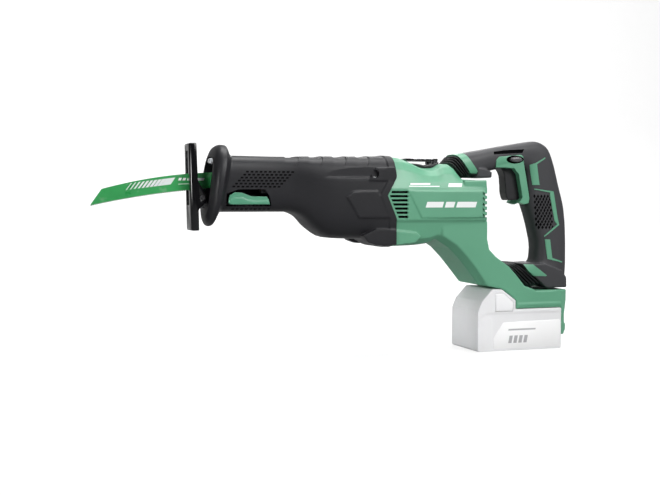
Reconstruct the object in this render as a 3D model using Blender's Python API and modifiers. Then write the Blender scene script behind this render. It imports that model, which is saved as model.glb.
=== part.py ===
"""Cordless reciprocating saw with a D-handle, a rubber nose cover and a slide-on battery.

Metres, +Z up. The blade points to -X, the battery's flat underside is z = 0.
Every visible object is one piece of the real tool; the shapes that cut it are thrown away once used.
"""

import math

import bmesh
import bpy
from mathutils import Matrix

MM = 0.001

# Overall layout, in millimetres
GAP = 0.3  # clearance kept between neighbouring pieces
PLUNGER_Z = 208.0  # plunger and blade axis
MOTOR_Z = 184.0  # motor axis
SHAFT_Z = 162.0  # intermediate shaft axis
HUB_X = 8.0  # wobble hub centre
SKIN = 2.2  # wall of the cover, and of the gear case
WALL = 3.0  # wall of the green housing
RING_POINTS = 24

# Gears
GEAR_MODULE = 0.88
PINION_TEETH = 10
GEAR_TEETH = 40

# Blade
BLADE_T = 1.3
BLADE_ROOT_X = -160.0
BLADE_TIP_X = -300.0
TOOTH_PITCH = 4.2
TOOTH_DEPTH = 1.3

# Shoe
SHOE_PIN = (-176.0, 189.0)
SHOE_HALF_W = 15.0
SHOE_PLATE = 2.6
SHOE_TILT = math.radians(1.3)

# Rear handle
HANDLE_HALF_W = 18.0
HANDLE_PIVOT = (286.0, 82.0)

# Battery and base
BATTERY_HALF_W = 37.0
BASE_HALF_W = 36.0
STRIP_HALF_W = 29.5
LEG_HALF_W = 32.5

# Section rows of the cover and barrel: x, z low, z high, half width, lean of the ring
COVER_ROWS = [
    (-168.5, 166.0, 241.0, 29.0, 0.14),
    (-165.0, 160.0, 247.0, 35.0, 0.14),
    (-159.5, 156.5, 250.5, 37.5, 0.14),
    (-154.5, 157.5, 249.5, 37.0, 0.10),
    (-148.5, 167.0, 243.0, 32.0, 0.04),
    (-141.0, 173.0, 238.0, 29.5, 0.0),
    (-76.0, 173.0, 237.5, 30.0, 0.0),
    (-61.0, 168.0, 238.0, 33.0, 0.0),
    (-46.0, 153.5, 238.3, 37.5, 0.0),
    (-26.0, 142.0, 238.6, 40.5, 0.0),
    (15.0, 140.0, 239.0, 41.0, 0.0),
    (33.0, 131.5, 239.5, 41.0, 0.0),
    (52.0, 131.0, 239.0, 40.5, 0.0),
]
BARREL_ROWS = [
    (36.0, 131.0, 239.0, 40.5, 0.0),
    (60.0, 131.5, 238.0, 40.0, 0.0),
    (76.0, 132.0, 233.0, 39.5, 0.0),
    (97.0, 134.0, 225.5, 39.0, 0.0),
    (108.0, 138.0, 226.0, 39.0, 0.0),
    (118.0, 138.5, 231.0, 39.0, 0.0),
    (128.0, 139.0, 231.0, 39.0, 0.0),
    (146.0, 140.0, 212.5, 39.0, 0.0),
    (172.0, 142.0, 211.5, 38.5, 0.0),
    (180.0, 147.0, 209.0, 36.0, 0.0),
]
# Joint line between the black cover and the green housing, x and z
SEAM = [(50.0, 252.0), (51.0, 228.0), (52.0, 214.0), (40.0, 192.0), (52.0, 164.0), (51.5, 120.0)]

GREEN = (0.075, 0.285, 0.185)
BLACK = (0.028, 0.030, 0.033)
DARK = (0.018, 0.018, 0.020)
STEEL = (0.52, 0.53, 0.55)
SHOE_BLACK = (0.010, 0.010, 0.011)
CAST = (0.45, 0.46, 0.47)
PALE = (0.62, 0.62, 0.62)


def clear_scene():
    for obj in list(bpy.data.objects):
        bpy.data.objects.remove(obj)


def collection(name):
    made = bpy.data.collections.new(name)
    bpy.context.scene.collection.children.link(made)
    return made


def material(name, color, metallic=0.0, rough=0.5):
    made = bpy.data.materials.new(name)
    made.use_nodes = True
    made.diffuse_color = (*color, 1.0)
    shader = made.node_tree.nodes["Principled BSDF"]
    shader.inputs["Base Color"].default_value = (*color, 1.0)
    shader.inputs["Metallic"].default_value = metallic
    shader.inputs["Roughness"].default_value = rough
    return made


def from_bmesh(bm, name):
    """A scratch object from a bmesh in millimetres, its faces turned outwards."""
    bmesh.ops.recalc_face_normals(bm, faces=bm.faces)
    if bm.calc_volume(signed=True) < 0:
        bmesh.ops.reverse_faces(bm, faces=bm.faces)
    bmesh.ops.scale(bm, vec=(MM, MM, MM), verts=bm.verts)
    mesh = bpy.data.meshes.new(name)
    bm.to_mesh(mesh)
    bm.free()
    return bpy.data.objects.new(name, mesh)


def evaluated_mesh(obj):
    """The object's shape with its modifiers, as a new mesh."""
    scene = bpy.context.scene.collection
    scene.objects.link(obj)
    bpy.context.view_layer.update()
    graph = bpy.context.evaluated_depsgraph_get()
    mesh = bpy.data.meshes.new_from_object(obj.evaluated_get(graph))
    scene.objects.unlink(obj)
    return mesh


def welded(obj, turn, name, rim=None, edge=0.0):
    """Turns the evaluated shape (in millimetres) into place, welds it and chamfers the rims asked for."""
    bm = bmesh.new()
    bm.from_mesh(evaluated_mesh(obj))
    bpy.data.objects.remove(obj)
    bmesh.ops.remove_doubles(bm, verts=bm.verts, dist=1e-4)
    if edge:
        bmesh.ops.dissolve_limit(bm, angle_limit=0.001, verts=bm.verts, edges=bm.edges)
        rims = [e for e in bm.edges if all(abs(abs(v.co.z) - rim) < 1e-4 for v in e.verts)]
        bmesh.ops.bevel(bm, geom=rims, offset=edge, segments=1, affect="EDGES")
    bmesh.ops.transform(bm, matrix=turn, verts=bm.verts)
    return from_bmesh(bm, name)


def skin_rings(rings, closed=False):
    """Quads between successive rings of points, with flat ends unless the rings close on themselves."""
    bm = bmesh.new()
    rows = [[bm.verts.new(point) for point in ring] for ring in rings]
    count = len(rows[0])
    pairs = list(zip(rows, rows[1:]))
    if closed:
        pairs.append((rows[-1], rows[0]))
    for a, b in pairs:
        for i in range(count):
            j = (i + 1) % count
            bm.faces.new((a[i], a[j], b[j], b[i]))
    if not closed:
        bm.faces.new(rows[0])
        bm.faces.new(list(reversed(rows[-1])))
    return bm


def super_ring(x, z0, z1, half_w, lean=0.0, power=4.0, count=RING_POINTS):
    """Rounded rectangle in a plane across X, leaning back with height."""
    mid = (z0 + z1) / 2
    half_h = (z1 - z0) / 2
    points = []
    for i in range(count):
        angle = 2 * math.pi * (i + 0.5) / count
        c, s = math.cos(angle), math.sin(angle)
        y = half_w * math.copysign(abs(c) ** (2 / power), c)
        z = half_h * math.copysign(abs(s) ** (2 / power), s)
        points.append((x + lean * z, y, mid + z))
    return points


def loft(rows, shrink=0.0, name="loft", power=4.0):
    rings = [super_ring(x, z0 + shrink, z1 - shrink, w - shrink, lean, power) for x, z0, z1, w, lean in rows]
    return from_bmesh(skin_rings(rings), name)


def spine_loft(stations, name="spine", power=3.2, count=20):
    """Stations of (x1, z1, x2, z2, half width): a rounded section across each line, skinned in order."""
    rings = []
    for x1, z1, x2, z2, half_w in stations:
        ring = []
        for i in range(count):
            angle = 2 * math.pi * (i + 0.5) / count
            c, s = math.cos(angle), math.sin(angle)
            along = 0.5 + 0.5 * math.copysign(abs(s) ** (2 / power), s)
            y = half_w * math.copysign(abs(c) ** (2 / power), c)
            ring.append((x1 + (x2 - x1) * along, y, z1 + (z2 - z1) * along))
        rings.append(ring)
    return from_bmesh(skin_rings(rings), name)


ALONG_X = Matrix(((0, 0, 1, 0), (1, 0, 0, 0), (0, 1, 0, 0), (0, 0, 0, 1)))
ALONG_Y = Matrix(((1, 0, 0, 0), (0, 0, -1, 0), (0, 1, 0, 0), (0, 0, 0, 1)))


def plate(outline, low, high, name="plate", edge=0.0, turn=ALONG_Y):
    """A flat outline given thickness: of (x, z) points along Y, or of (y, z) points along X."""
    curve = bpy.data.curves.new(name, "CURVE")
    curve.dimensions = "2D"
    curve.fill_mode = "BOTH"
    curve.extrude = (high - low) / 2
    spline = curve.splines.new("POLY")
    spline.points.add(len(outline) - 1)
    for point, (a, b) in zip(spline.points, outline):
        point.co = (a, b, 0.0, 1.0)
    spline.use_cyclic_u = True
    middle = (low + high) / 2 * (1 if turn is ALONG_X else -1)
    place = turn @ Matrix.Translation((0.0, 0.0, middle))
    return welded(bpy.data.objects.new(name, curve), place, name, (high - low) / 2, edge)


def prism(outline, y0, y1, name="prism", edge=0.0):
    """An outline of (x, z) points given thickness along Y; edge chamfers both rims."""
    return plate(outline, y0, y1, name, edge)


def inset_outline(outline, by):
    if not by:
        return outline
    area = sum(a[0] * b[1] - b[0] * a[1] for a, b in zip(outline, outline[1:] + outline[:1]))
    turn = 1.0 if area > 0 else -1.0
    moved = []
    count = len(outline)
    for i in range(count):
        before, here, after = outline[i - 1], outline[i], outline[(i + 1) % count]
        d1 = unit(here[0] - before[0], here[1] - before[1])
        d2 = unit(after[0] - here[0], after[1] - here[1])
        n1 = (-d1[1] * turn, d1[0] * turn)
        n2 = (-d2[1] * turn, d2[0] * turn)
        scale = by / max(0.35, 1 + n1[0] * n2[0] + n1[1] * n2[1])
        moved.append((here[0] + (n1[0] + n2[0]) * scale, here[1] + (n1[1] + n2[1]) * scale))
    return moved


def unit(x, z):
    size = math.hypot(x, z) or 1.0
    return x / size, z / size


def box(lo, hi, name="box"):
    bm = bmesh.new()
    size = [hi[i] - lo[i] for i in range(3)]
    middle = [(hi[i] + lo[i]) / 2 for i in range(3)]
    place = Matrix.Translation(middle) @ Matrix.Diagonal((*size, 1.0))
    bmesh.ops.create_cube(bm, size=1.0, matrix=place)
    return from_bmesh(bm, name)


TURNS = {"X": Matrix.Identity(4), "Y": Matrix.Rotation(math.pi / 2, 4, "Z"), "Z": Matrix.Rotation(-math.pi / 2, 4, "Y")}


def turned(profile, centre, name="turned", axis="X", count=32, ring=False):
    """A shape turned about a line through centre: profile rows are distance along the axis and radius."""
    points = list(profile) if ring else [(profile[0][0], 0.0)] + list(profile) + [(profile[-1][0], 0.0)]
    edges = [(i, i + 1) for i in range(len(points) - 1)]
    if ring:
        edges.append((len(points) - 1, 0))
    mesh = bpy.data.meshes.new(name)
    mesh.from_pydata([(along, 0.0, r) for along, r in points], edges, [])
    obj = bpy.data.objects.new(name, mesh)
    screw_mod = obj.modifiers.new("turn", "SCREW")
    screw_mod.axis = "X"
    screw_mod.steps = count
    screw_mod.render_steps = count
    screw_mod.use_merge_vertices = True
    screw_mod.merge_threshold = 0.0001
    return welded(obj, Matrix.Translation(centre) @ TURNS[axis], name)


def rod(x0, x1, r, z, name="rod", count=32):
    """A solid cylinder along X."""
    return turned([(x0, r), (x1, r)], (0.0, 0.0, z), name, count=count)


def tube(x0, x1, r0, r1, z, name="tube", count=32):
    """A hollow cylinder along X: inner radius r0, outer radius r1."""
    return turned([(x0, r0), (x0, r1), (x1, r1), (x1, r0)], (0.0, 0.0, z), name, count=count, ring=True)


def y_rod(x, z, y0, y1, r, name="rod", count=20):
    bm = bmesh.new()
    place = Matrix.Translation((x, (y0 + y1) / 2, z)) @ Matrix.Rotation(math.pi / 2, 4, "X")
    bmesh.ops.create_cone(bm, cap_ends=True, segments=count, radius1=r, radius2=r, depth=y1 - y0, matrix=place)
    return from_bmesh(bm, name)


def combine(obj, others, operation="DIFFERENCE"):
    """Joins or cuts a shape with each of the others, which are thrown away."""
    scene = bpy.context.scene.collection
    for other in others:
        scene.objects.link(other)
        mod = obj.modifiers.new("cut", "BOOLEAN")
        mod.operation = operation
        mod.solver = "EXACT"
        mod.object = other
    mesh = evaluated_mesh(obj)
    obj.modifiers.clear()
    obj.data = mesh
    for other in others:
        bpy.data.objects.remove(other)
    return obj


def keep(obj, name, slot):
    """Makes a scratch object a named piece of the saw."""
    obj.name = name
    obj.data.name = name
    obj.data.materials.clear()
    obj.data.materials.append(MATERIALS[slot])
    PIECES.objects.link(obj)
    return obj


def seam_prism(side, gap):
    """Everything on one side of the cover joint line: side -1 is the nose, 1 is the motor."""
    edge = [(x + gap * side / 2, z) for x, z in SEAM]
    far = 400.0 * side
    outline = [(far, edge[0][1])] + edge + [(far, edge[-1][1])]
    return prism(outline, -60, 60, "seam")


# ---------------------------------------------------------------- nose and gear case


def front_cover():
    body = loft(COVER_ROWS, 0.0, "cover")
    inner = [
        (-182.0, 178.0, 236.0, 21.0, 0.0),
        (-160.0, 177.0, 236.5, 22.5, 0.0),
        (-146.0, 176.0, 236.0, 25.0, 0.0),
    ]
    inner += [(x, z0 + SKIN, z1 - SKIN, w - SKIN, 0.0) for x, z0, z1, w, _ in COVER_ROWS[5:-1]]
    inner.append((60.0, 133.2, 236.8, 38.3, 0.0))
    hollow = from_bmesh(skin_rings([super_ring(*row) for row in inner]), "hollow")
    window = [(-151.5, 179.6), (-98.0, 179.6), (-101.0, 191.0), (-106.0, 199.0), (-137.0, 199.0), (-151.5, 194.0)]
    lever_cut = prism(window, -45, -18, "lever_cut")
    body = combine(body, [hollow, seam_prism(1, -GAP), lever_cut])
    bosses = []
    for side in (-1, 1):
        bosses.append(y_boss(38.0, 216.5, side, 9.0, 38.6, 40.9, 26.0))
    return combine(body, bosses, "UNION")


def y_boss(x, z, side, r, y0, y1, long):
    """A screw boss lying along X on the side of the cover."""
    outline = [(x - long, z), (x - long + 8, z + r * 0.7), (x, z + r), (x + 9.5, z + r), (x + 9.5, z - r), (x, z - r)]
    outline.append((x - long + 8, z - r * 0.7))
    ends = sorted((side * y0, side * y1))
    return prism(outline, ends[0], ends[1], "boss", 1.0)


def gear_case():
    rows = [(x, z0 + SKIN + GAP, z1 - SKIN - GAP, w - SKIN - GAP, 0.0) for x, z0, z1, w, _ in COVER_ROWS[8:]]
    rows[-1:] = [(38.5, 134.5, 236.5, 36.8, 0.0), (46.0, 134.5, 236.0, 36.8, 0.0)]
    chamber = loft(rows, 0.0, "case")
    hollow_rows = [(x + (2.5 if i == 0 else 0), z0, z1, w, 0.0) for i, (x, z0, z1, w, _) in enumerate(rows)]
    hollow_rows[-1] = (50.0, 134.5, 236.0, 36.8, 0.0)
    hollow = loft(hollow_rows, SKIN, "hollow")
    nose = rod(-104, -44, 13.5, PLUNGER_Z, "nose")
    body = combine(chamber, [hollow])
    body = combine(body, [nose], "UNION")
    return combine(body, [rod(-110, -40, 11.2, PLUNGER_Z, "bore")])


def bearing_plate():
    plate = loft([(46.5, 137.0, 233.5, 35.0, 0.0), (50.0, 137.0, 233.5, 35.0, 0.0)], 0.0, "plate")
    holes = [
        rod(40, 60, 7.8, MOTOR_Z, "motor_hole"),
        rod(40, 60, 7.0, SHAFT_Z, "shaft_hole"),
    ]
    return combine(plate, holes)


# ---------------------------------------------------------------- plunger, clamp, blade


def plunger():
    body = turned([(-152, 8.4), (-151, 9.0), (26, 9.0)], (0, 0, PLUNGER_Z), "plunger")
    notch = [(HUB_X - 4.9, 213.0), (HUB_X + 4.9, 213.0), (HUB_X + 4.9, 205.0)]
    notch += [(HUB_X + 9.0, 195.0), (HUB_X - 9.0, 195.0), (HUB_X - 4.9, 205.0)]
    cuts = [
        prism(notch, -4.8, 4.8, "notch"),
        box((-160, -BLADE_T / 2 - 0.35, 201.7), (-137, BLADE_T / 2 + 0.35, 214.3), "slit"),
    ]
    return combine(body, cuts)


def clamp_sleeve():
    profile = [(-158, 9.6), (-158, 10.8), (-156.5, 12.2), (-138, 12.2), (-134, 11.4), (-134, 9.6)]
    body = turned(profile, (0, 0, PLUNGER_Z), "sleeve", count=40, ring=True)
    keys = [box((-150, y - 1.6, PLUNGER_Z + 10.6), (-142, y + 1.6, PLUNGER_Z + 15), "key") for y in (-6, 6)]
    return combine(body, keys)


def blade_edge(x, top):
    t = BLADE_ROOT_X - x
    if top:
        return 218.6 - 0.0266 * t - 0.00099 * t * t
    return 199.6 - 0.0579 * t - 0.0006 * t * t


def blade():
    outline = [(-139.0, 203.0), (-139.0, 213.0), (-156.0, 213.0), (BLADE_ROOT_X, 218.6)]
    outline += [(x, blade_edge(x, True)) for x in range(-172, -285, -14)]
    outline += [(-287.0, blade_edge(-287.0, True)), (BLADE_TIP_X, blade_edge(BLADE_TIP_X, False) + 1.6)]
    x = BLADE_TIP_X + 0.6
    while x < BLADE_ROOT_X - 8 - TOOTH_PITCH:
        outline.append((x, blade_edge(x, False)))
        outline.append((x + 1.2, blade_edge(x + 1.2, False) + TOOTH_DEPTH))
        x += TOOTH_PITCH
    outline += [(BLADE_ROOT_X - 8, 199.9), (BLADE_ROOT_X, 199.9), (-156.0, 203.0)]
    return prism(outline, -BLADE_T / 2, BLADE_T / 2, "blade")


# ---------------------------------------------------------------- shoe


def shoe():
    """Folded steel shoe: a slotted front web, two side flanges and ears round the pin."""
    px, pz = SHOE_PIN
    side = [(-190.0, 154.0), (-190.0, 250.0), (-188.5, 252.0), (-181.0, 252.0), (-180.5, 209.0)]
    side += [(px + 4.5, pz + 4.0), (px + 4.5, pz - 4.0), (-180.5, 176.0), (-180.5, 152.0), (-188.5, 152.0)]
    side = [turn_about(point, SHOE_PIN, -SHOE_TILT) for point in side]
    body = prism(side, -SHOE_HALF_W, SHOE_HALF_W, "shoe", 1.0)
    slot = [(-200.0, 181.0), (-200.0, 243.0), (-160.0, 243.0), (-160.0, 181.0)]
    inner = [turn_about(p, SHOE_PIN, -SHOE_TILT) for p in [(-187.2, 140.0), (-187.2, 260.0), (-150.0, 260.0), (-150.0, 140.0)]]
    wall = SHOE_HALF_W - SHOE_PLATE
    cuts = [
        prism(inner, -wall, wall, "inner"),
        prism(slot, -6.2, 6.2, "slot"),
        y_rod(px, pz, -20, 20, 3.1, "pin_hole"),
    ]
    obj = combine(body, cuts)
    return move_origin(obj, (px, 0.0, pz))


def turn_about(point, centre, angle):
    dx, dz = point[0] - centre[0], point[1] - centre[1]
    c, s = math.cos(angle), math.sin(angle)
    return centre[0] + dx * c + dz * s, centre[1] - dx * s + dz * c


def move_origin(obj, origin):
    """Puts the object's origin on its joint axis without moving the shape."""
    shift = [(origin[i] * MM - obj.location[i]) for i in range(3)]
    for vert in obj.data.vertices:
        vert.co = [vert.co[i] - shift[i] for i in range(3)]
    obj.location = [value * MM for value in origin]
    return obj


def shoe_bar():
    px, pz = SHOE_PIN
    bar = box((px - 1.0, -9.0, 178.6), (-70.0, 9.0, 182.6), "bar")
    ears = [(px - 3.6, 179.0), (px - 4.2, pz), (px - 3.0, pz + 3.4), (px + 3.0, pz + 3.4), (px + 4.2, pz), (px + 8.0, 179.0)]
    for y in (-8.9, 5.9):
        bar = combine(bar, [prism(ears, y, y + 3.0, "ear")], "UNION")
    cuts = [y_rod(px, pz, -20, 20, 3.1, "pin_hole")]
    for x in (-140.0, -122.0, -104.0):
        cuts.append(box((x, -3.0, 170), (x + 9.0, 3.0, 190), "step"))
    return combine(bar, cuts)


# ---------------------------------------------------------------- blade change lever and light


def blade_lever():
    outline = [(-149.0, 184.0), (-147.0, 181.6), (-100.2, 181.6), (-101.5, 187.0), (-104.0, 190.8)]
    outline += [(-122.0, 191.0), (-129.0, 193.6), (-134.0, 195.4), (-142.0, 195.4), (-147.5, 192.0)]
    plate = prism(outline, -29.2, -25.2, "lever", 0.8)
    return move_origin(plate, (-125.0, -27.0, 183.4))


def light():
    return prism([(-164.5, 235.2), (-166.0, 231.0), (-164.0, 228.6), (-157.0, 230.5), (-157.0, 235.2)], -6.0, 6.0, "light", 0.5)


# ---------------------------------------------------------------- wobble drive


def wobble_ring():
    """Rocking ring with an upright arm whose ball end drives the plunger."""
    body = tube(HUB_X - 4, HUB_X + 4, 12.0, 16.0, SHAFT_Z, "ring")
    profile = [(176.0, 4.6), (184.0, 3.6), (199.0, 3.0), (204.6, 2.6)]
    profile += [(205.4, 3.6), (PLUNGER_Z, 4.2), (210.6, 3.6), (212.0, 1.5)]
    arm = turned(profile, (HUB_X, 0, 0), "arm", axis="Z", count=16)
    body = combine(body, [arm], "UNION")
    return move_origin(body, (HUB_X, 0.0, SHAFT_Z))


def wobble_hub():
    """Part of a ball with its two faces cut aslant, so that the ring rocks as it turns."""
    profile = []
    for i in range(9):
        angle = math.radians(-64 + 16 * i)
        profile.append((11.5 * math.sin(angle), 11.5 * math.cos(angle)))
    ball = turned(profile, (HUB_X, 0, SHAFT_Z), "hub")
    cuts = [rod(HUB_X - 30, HUB_X + 30, 5.3, SHAFT_Z, "bore", 20)]
    for side in (-1, 1):
        cuts.append(slant_block(side, math.radians(18)))
    return move_origin(combine(ball, cuts), (HUB_X, 0.0, SHAFT_Z))


def slant_block(side, slope):
    """A big block whose near face leans by the slope, in front of or behind the hub."""
    bm = bmesh.new()
    place = Matrix.Translation((HUB_X, 0, SHAFT_Z)) @ Matrix.Rotation(slope, 4, "Z")
    bmesh.ops.create_cube(bm, size=60.0, matrix=place @ Matrix.Translation((side * 36.4, 0, 0)))
    return from_bmesh(bm, "slant")


def intermediate_shaft():
    return turned([(-12, 4.6), (-11.6, 5.0), (55.5, 5.0), (56, 4.6)], (0, 0, SHAFT_Z), "shaft", count=20)


def gear(teeth, x0, x1, z, bore, phase):
    """A spur gear along X with plain tapered teeth."""
    pitch_r = GEAR_MODULE * teeth / 2
    step = 2 * math.pi / teeth
    outline = []
    for i in range(teeth):
        mid = i * step + phase
        for offset, r in ((-0.25, -1.0), (-0.11, 0.62), (0.11, 0.62), (0.25, -1.0)):
            radius = pitch_r + r * GEAR_MODULE
            outline.append((radius * math.cos(mid + offset * step), radius * math.sin(mid + offset * step)))
    body = plate([(y, z + h) for y, h in outline], x0, x1, "gear", turn=ALONG_X)
    return combine(body, [rod(x0 - 5, x1 + 5, bore, z, "bore", 20)])


# ---------------------------------------------------------------- motor


def stator():
    body = tube(76, 130, 17.5, 27.5, MOTOR_Z, "stator", count=32)
    return combine(body, [winding_slot(math.radians(60 * i)) for i in range(6)])


def spoke(angle, corners, x0, x1, name):
    """A bar along X whose section is given by corners of (radius, sideways) turned by the angle."""
    c, s = math.cos(angle), math.sin(angle)
    outline = [(r * c - w * s, MOTOR_Z + r * s + w * c) for r, w in corners]
    return plate(outline, x0, x1, name, turn=ALONG_X)


def winding_slot(angle):
    """A winding slot that opens on to the rotor."""
    return spoke(angle, [(10, -1.2), (10, 1.2), (22.5, 4.0), (22.5, -4.0)], 70, 136, "slot")


def rotor_shaft():
    profile = [(38.5, 2.6), (39, 3.0), (70, 3.0), (70, 4.0), (150, 4.0), (150.5, 3.4)]
    return turned(profile, (0, 0, MOTOR_Z), "rotor_shaft", count=20)


def fan():
    """Cooling fan behind the motor: a hub disc with straight blades."""
    hub = tube(134, 137, 4.1, 24, MOTOR_Z, "fan", count=24)
    corners = [(9, -0.7), (9, 0.7), (25.5, 3.7), (25.5, 2.3)]
    blades = [spoke(math.radians(45 * i + 10), corners, 136.5, 145.0, "blade") for i in range(8)]
    return combine(hub, blades, "UNION")


# ---------------------------------------------------------------- green housing


def leg():
    """The leg and the wider battery base below it, one solid."""
    points = [(106.0, 160.0), (107.0, 140.0), (126.0, 128.0), (139.0, 115.0), (151.0, 101.0), (166.0, 82.5)]
    points += [(180.0, 84.0), (215.0, 82.0), (226.0, 80.0), (215.0, 93.0), (204.0, 104.5)]
    points += [(186.0, 117.0), (177.0, 126.0), (174.0, 139.0), (174.0, 160.0)]
    base = [(158.0, 92.5), (166.0, 82.5), (194.5, 77.0), (214.0, 62.8), (214.0, 51.7), (278.5, 51.7)]
    base += [(278.5, 73.5), (236.0, 73.5), (215.0, 93.0)]
    strip = [(272.0, 54.0), (278.6, 51.7), (278.6, 17.0), (284.0, 17.0), (288.5, 23.0), (288.5, 29.5), (285.6, 32.0)]
    strip += [(285.4, 42.0), (287.6, 52.0), (289.4, 60.0), (289.6, 73.2), (272.0, 73.2)]
    column = prism(points, -LEG_HALF_W, LEG_HALF_W, "leg", 3.0)
    parts = [prism(base, -BASE_HALF_W, BASE_HALF_W, "base", 1.5), prism(strip, -STRIP_HALF_W, STRIP_HALF_W, "strip", 1.2)]
    return combine(column, parts, "UNION")


def housing():
    outer = combine(loft(BARREL_ROWS, 0.0, "outer"), [leg()], "UNION")
    rows = list(BARREL_ROWS)
    rows[0] = (30.0, 131.0, 239.0, 40.5, 0.0)
    rows[-1] = (176.5, 147.0, 209.0, 36.0, 0.0)
    inner = loft(rows, WALL, "inner")
    body = combine(outer, [inner])
    cuts = [leg_cavity(), seam_prism(-1, -GAP), hook_pocket()]
    for i in range(7):
        z = 196.0 - 4.9 * i
        x0 = 46.0 + abs(i - 1) * 1.6
        for side in (-1, 1):
            cuts.append(box((x0, min(side * 30, side * 50), z - 1.1), (x0 + 17, max(side * 30, side * 50), z + 1.1), "vent"))
    for i in range(5):
        z = 196.0 - 7.8 * i
        for side in (-1, 1):
            cuts.append(box((172, min(side * 20, side * 50), z - 1.5), (190, max(side * 20, side * 50), z + 1.5), "vent"))
    return combine(body, cuts)


def leg_cavity():
    points = [(112.0, 163.0), (113.0, 141.0), (129.0, 130.0), (142.0, 117.0), (154.0, 103.0), (169.0, 86.0)]
    points += [(196.0, 80.5), (217.5, 65.0), (217.5, 56.0), (283.0, 56.0), (285.5, 70.0)]
    points += [(234.0, 70.0), (212.5, 90.0), (201.5, 101.5), (184.0, 114.0), (174.0, 124.0), (170.5, 139.0), (170.5, 163.0)]
    return prism(points, WALL - LEG_HALF_W, LEG_HALF_W - WALL, "cavity")


def hook_pocket():
    """Scoop in the top of the housing under the folding hook."""
    return prism([(80.0, 250.0), (84.0, 229.5), (104.0, 226.3), (119.5, 228.4), (120.5, 250.0)], -13, 13, "pocket")


def half_of(body, side, name):
    copy = bpy.data.objects.new(name, body.data.copy())
    lo, hi = ((-90, -80, -20), (420, -0.15, 320)) if side < 0 else ((-90, 0.15, -20), (420, 80, 320))
    return combine(copy, [box(lo, hi, "half")], "INTERSECT")


# ---------------------------------------------------------------- rear handle


def rear_handle():
    stations = [
        (160.8, 215.4, 140.6, 242.6, 22.0),
        (168.0, 215.6, 151.4, 244.8, 21.2),
        (176.0, 216.6, 165.0, 247.2, 20.0),
        (184.0, 221.0, 182.0, 250.0, 19.0),
        (205.0, 226.0, 204.0, 254.0, HANDLE_HALF_W),
        (226.0, 229.0, 232.0, 258.6, HANDLE_HALF_W),
        (235.0, 226.0, 254.0, 261.5, HANDLE_HALF_W),
        (239.0, 218.0, 271.0, 254.5, HANDLE_HALF_W),
        (239.5, 205.0, 279.0, 240.0, HANDLE_HALF_W),
        (240.0, 186.0, 289.0, 206.0, HANDLE_HALF_W),
        (245.0, 170.0, 297.0, 176.0, HANDLE_HALF_W),
        (251.0, 150.0, 299.5, 150.0, HANDLE_HALF_W),
        (255.5, 126.0, 300.0, 124.0, 18.2),
        (254.5, 113.0, 300.0, 108.0, 18.6),
        (249.0, 104.0, 299.5, 95.0, 19.4),
        (244.0, 97.0, 298.0, 80.0, 20.0),
    ]
    grip = spine_loft(stations, "grip")
    foot = prism([(224.0, 108.0), (244.0, 106.5), (258.0, 107.0), (284.0, 98.0), (291.0, 88.0), (291.5, 78.0), (262.5, 78.0)], -27.6, 27.6, "foot", 2.0)
    plate = prism([(169.0, 215.0), (187.0, 215.0), (188.0, 221.0), (180.0, 226.0), (170.0, 226.0)], -20.6, 20.6, "plate", 1.0)
    body = combine(grip, [foot, plate], "UNION")
    cuts = [
        box((200.0, -9.5, 180.0), (246.0, 9.5, 232.6), "switch_well"),
        box((170.0, -11.0, 230.5), (235.0, 11.0, 243.0), "duct"),
        y_rod(220.0, 237.5, -30, 30, 4.6, "lock_bore", 16),
        y_rod(HANDLE_PIVOT[0], HANDLE_PIVOT[1], -40, 40, 3.1, "pivot_bore"),
    ]
    return move_origin(combine(body, cuts), (HANDLE_PIVOT[0], 0.0, HANDLE_PIVOT[1]))


def trigger():
    outline = [(205.0, 227.5), (210.0, 222.0), (212.5, 212.0), (215.0, 189.0), (217.0, 186.5)]
    outline += [(238.0, 187.5), (238.5, 205.0), (238.0, 226.0), (232.0, 227.5)]
    body = prism(outline, -8.8, 8.8, "trigger", 1.2)
    return move_origin(body, (228.0, 0.0, 230.0))


def bellows(near, far, half_w, ribs, name):
    """A ribbed rubber bellows between two lines seen from the side."""
    rings = []
    steps = ribs * 2
    for i in range(steps + 1):
        t = i / steps
        pinch = 1.8 if i % 2 else 0.0
        low = mix(near[0], far[0], t)
        high = mix(near[1], far[1], t)
        dx, dz = unit(high[0] - low[0], high[1] - low[1])
        rings.append((low[0] + dx * pinch, low[1] + dz * pinch, high[0] - dx * pinch, high[1] - dz * pinch, half_w - pinch))
    return spine_loft(rings, name, 4.0, 16)


def mix(a, b, t):
    return a[0] + (b[0] - a[0]) * t, a[1] + (b[1] - a[1]) * t


# ---------------------------------------------------------------- hook, battery


def hook():
    """Folding hook: a flat U of steel strip lying over its pocket."""
    body = box((76.0, -12.0, 234.6), (117.0, 12.0, 237.0), "hook")
    body = combine(body, [box((82.0, -6.5, 230.0), (121.0, 6.5, 240.0), "open")])
    lugs = [box((111.5, y, 231.8), (117.0, y + 5.0, 236.9), "lug") for y in (-11.9, 6.9)]
    body = combine(body, lugs, "UNION")
    return move_origin(body, (114.0, 0.0, 233.6))


def battery():
    outline = [(161.0, 1.5), (162.5, 0.0), (276.5, 0.0), (278.0, 1.5), (278.0, 51.2), (213.2, 51.2)]
    outline += [(213.2, 62.2), (194.0, 76.4), (181.0, 76.8), (166.5, 62.0), (161.0, 49.5)]
    body = prism(outline, -BATTERY_HALF_W, BATTERY_HALF_W, "battery", 2.0)
    pockets = []
    for side in (-1, 1):
        ends = sorted((side * 33.0, side * 45.0))
        pockets.append(prism(button_outline(GAP), ends[0], ends[1], "pocket"))
    return combine(body, pockets)


def button_outline(grow=0.0):
    points = [(185.0, 49.0), (209.0, 49.0), (210.0, 60.0), (196.0, 71.0), (185.0, 71.0)]
    return inset_outline(points, -grow)


def battery_button(side):
    ends = sorted((side * 34.8, side * 37.6))
    return prism(button_outline(), ends[0], ends[1], "button", 0.8)


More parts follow.
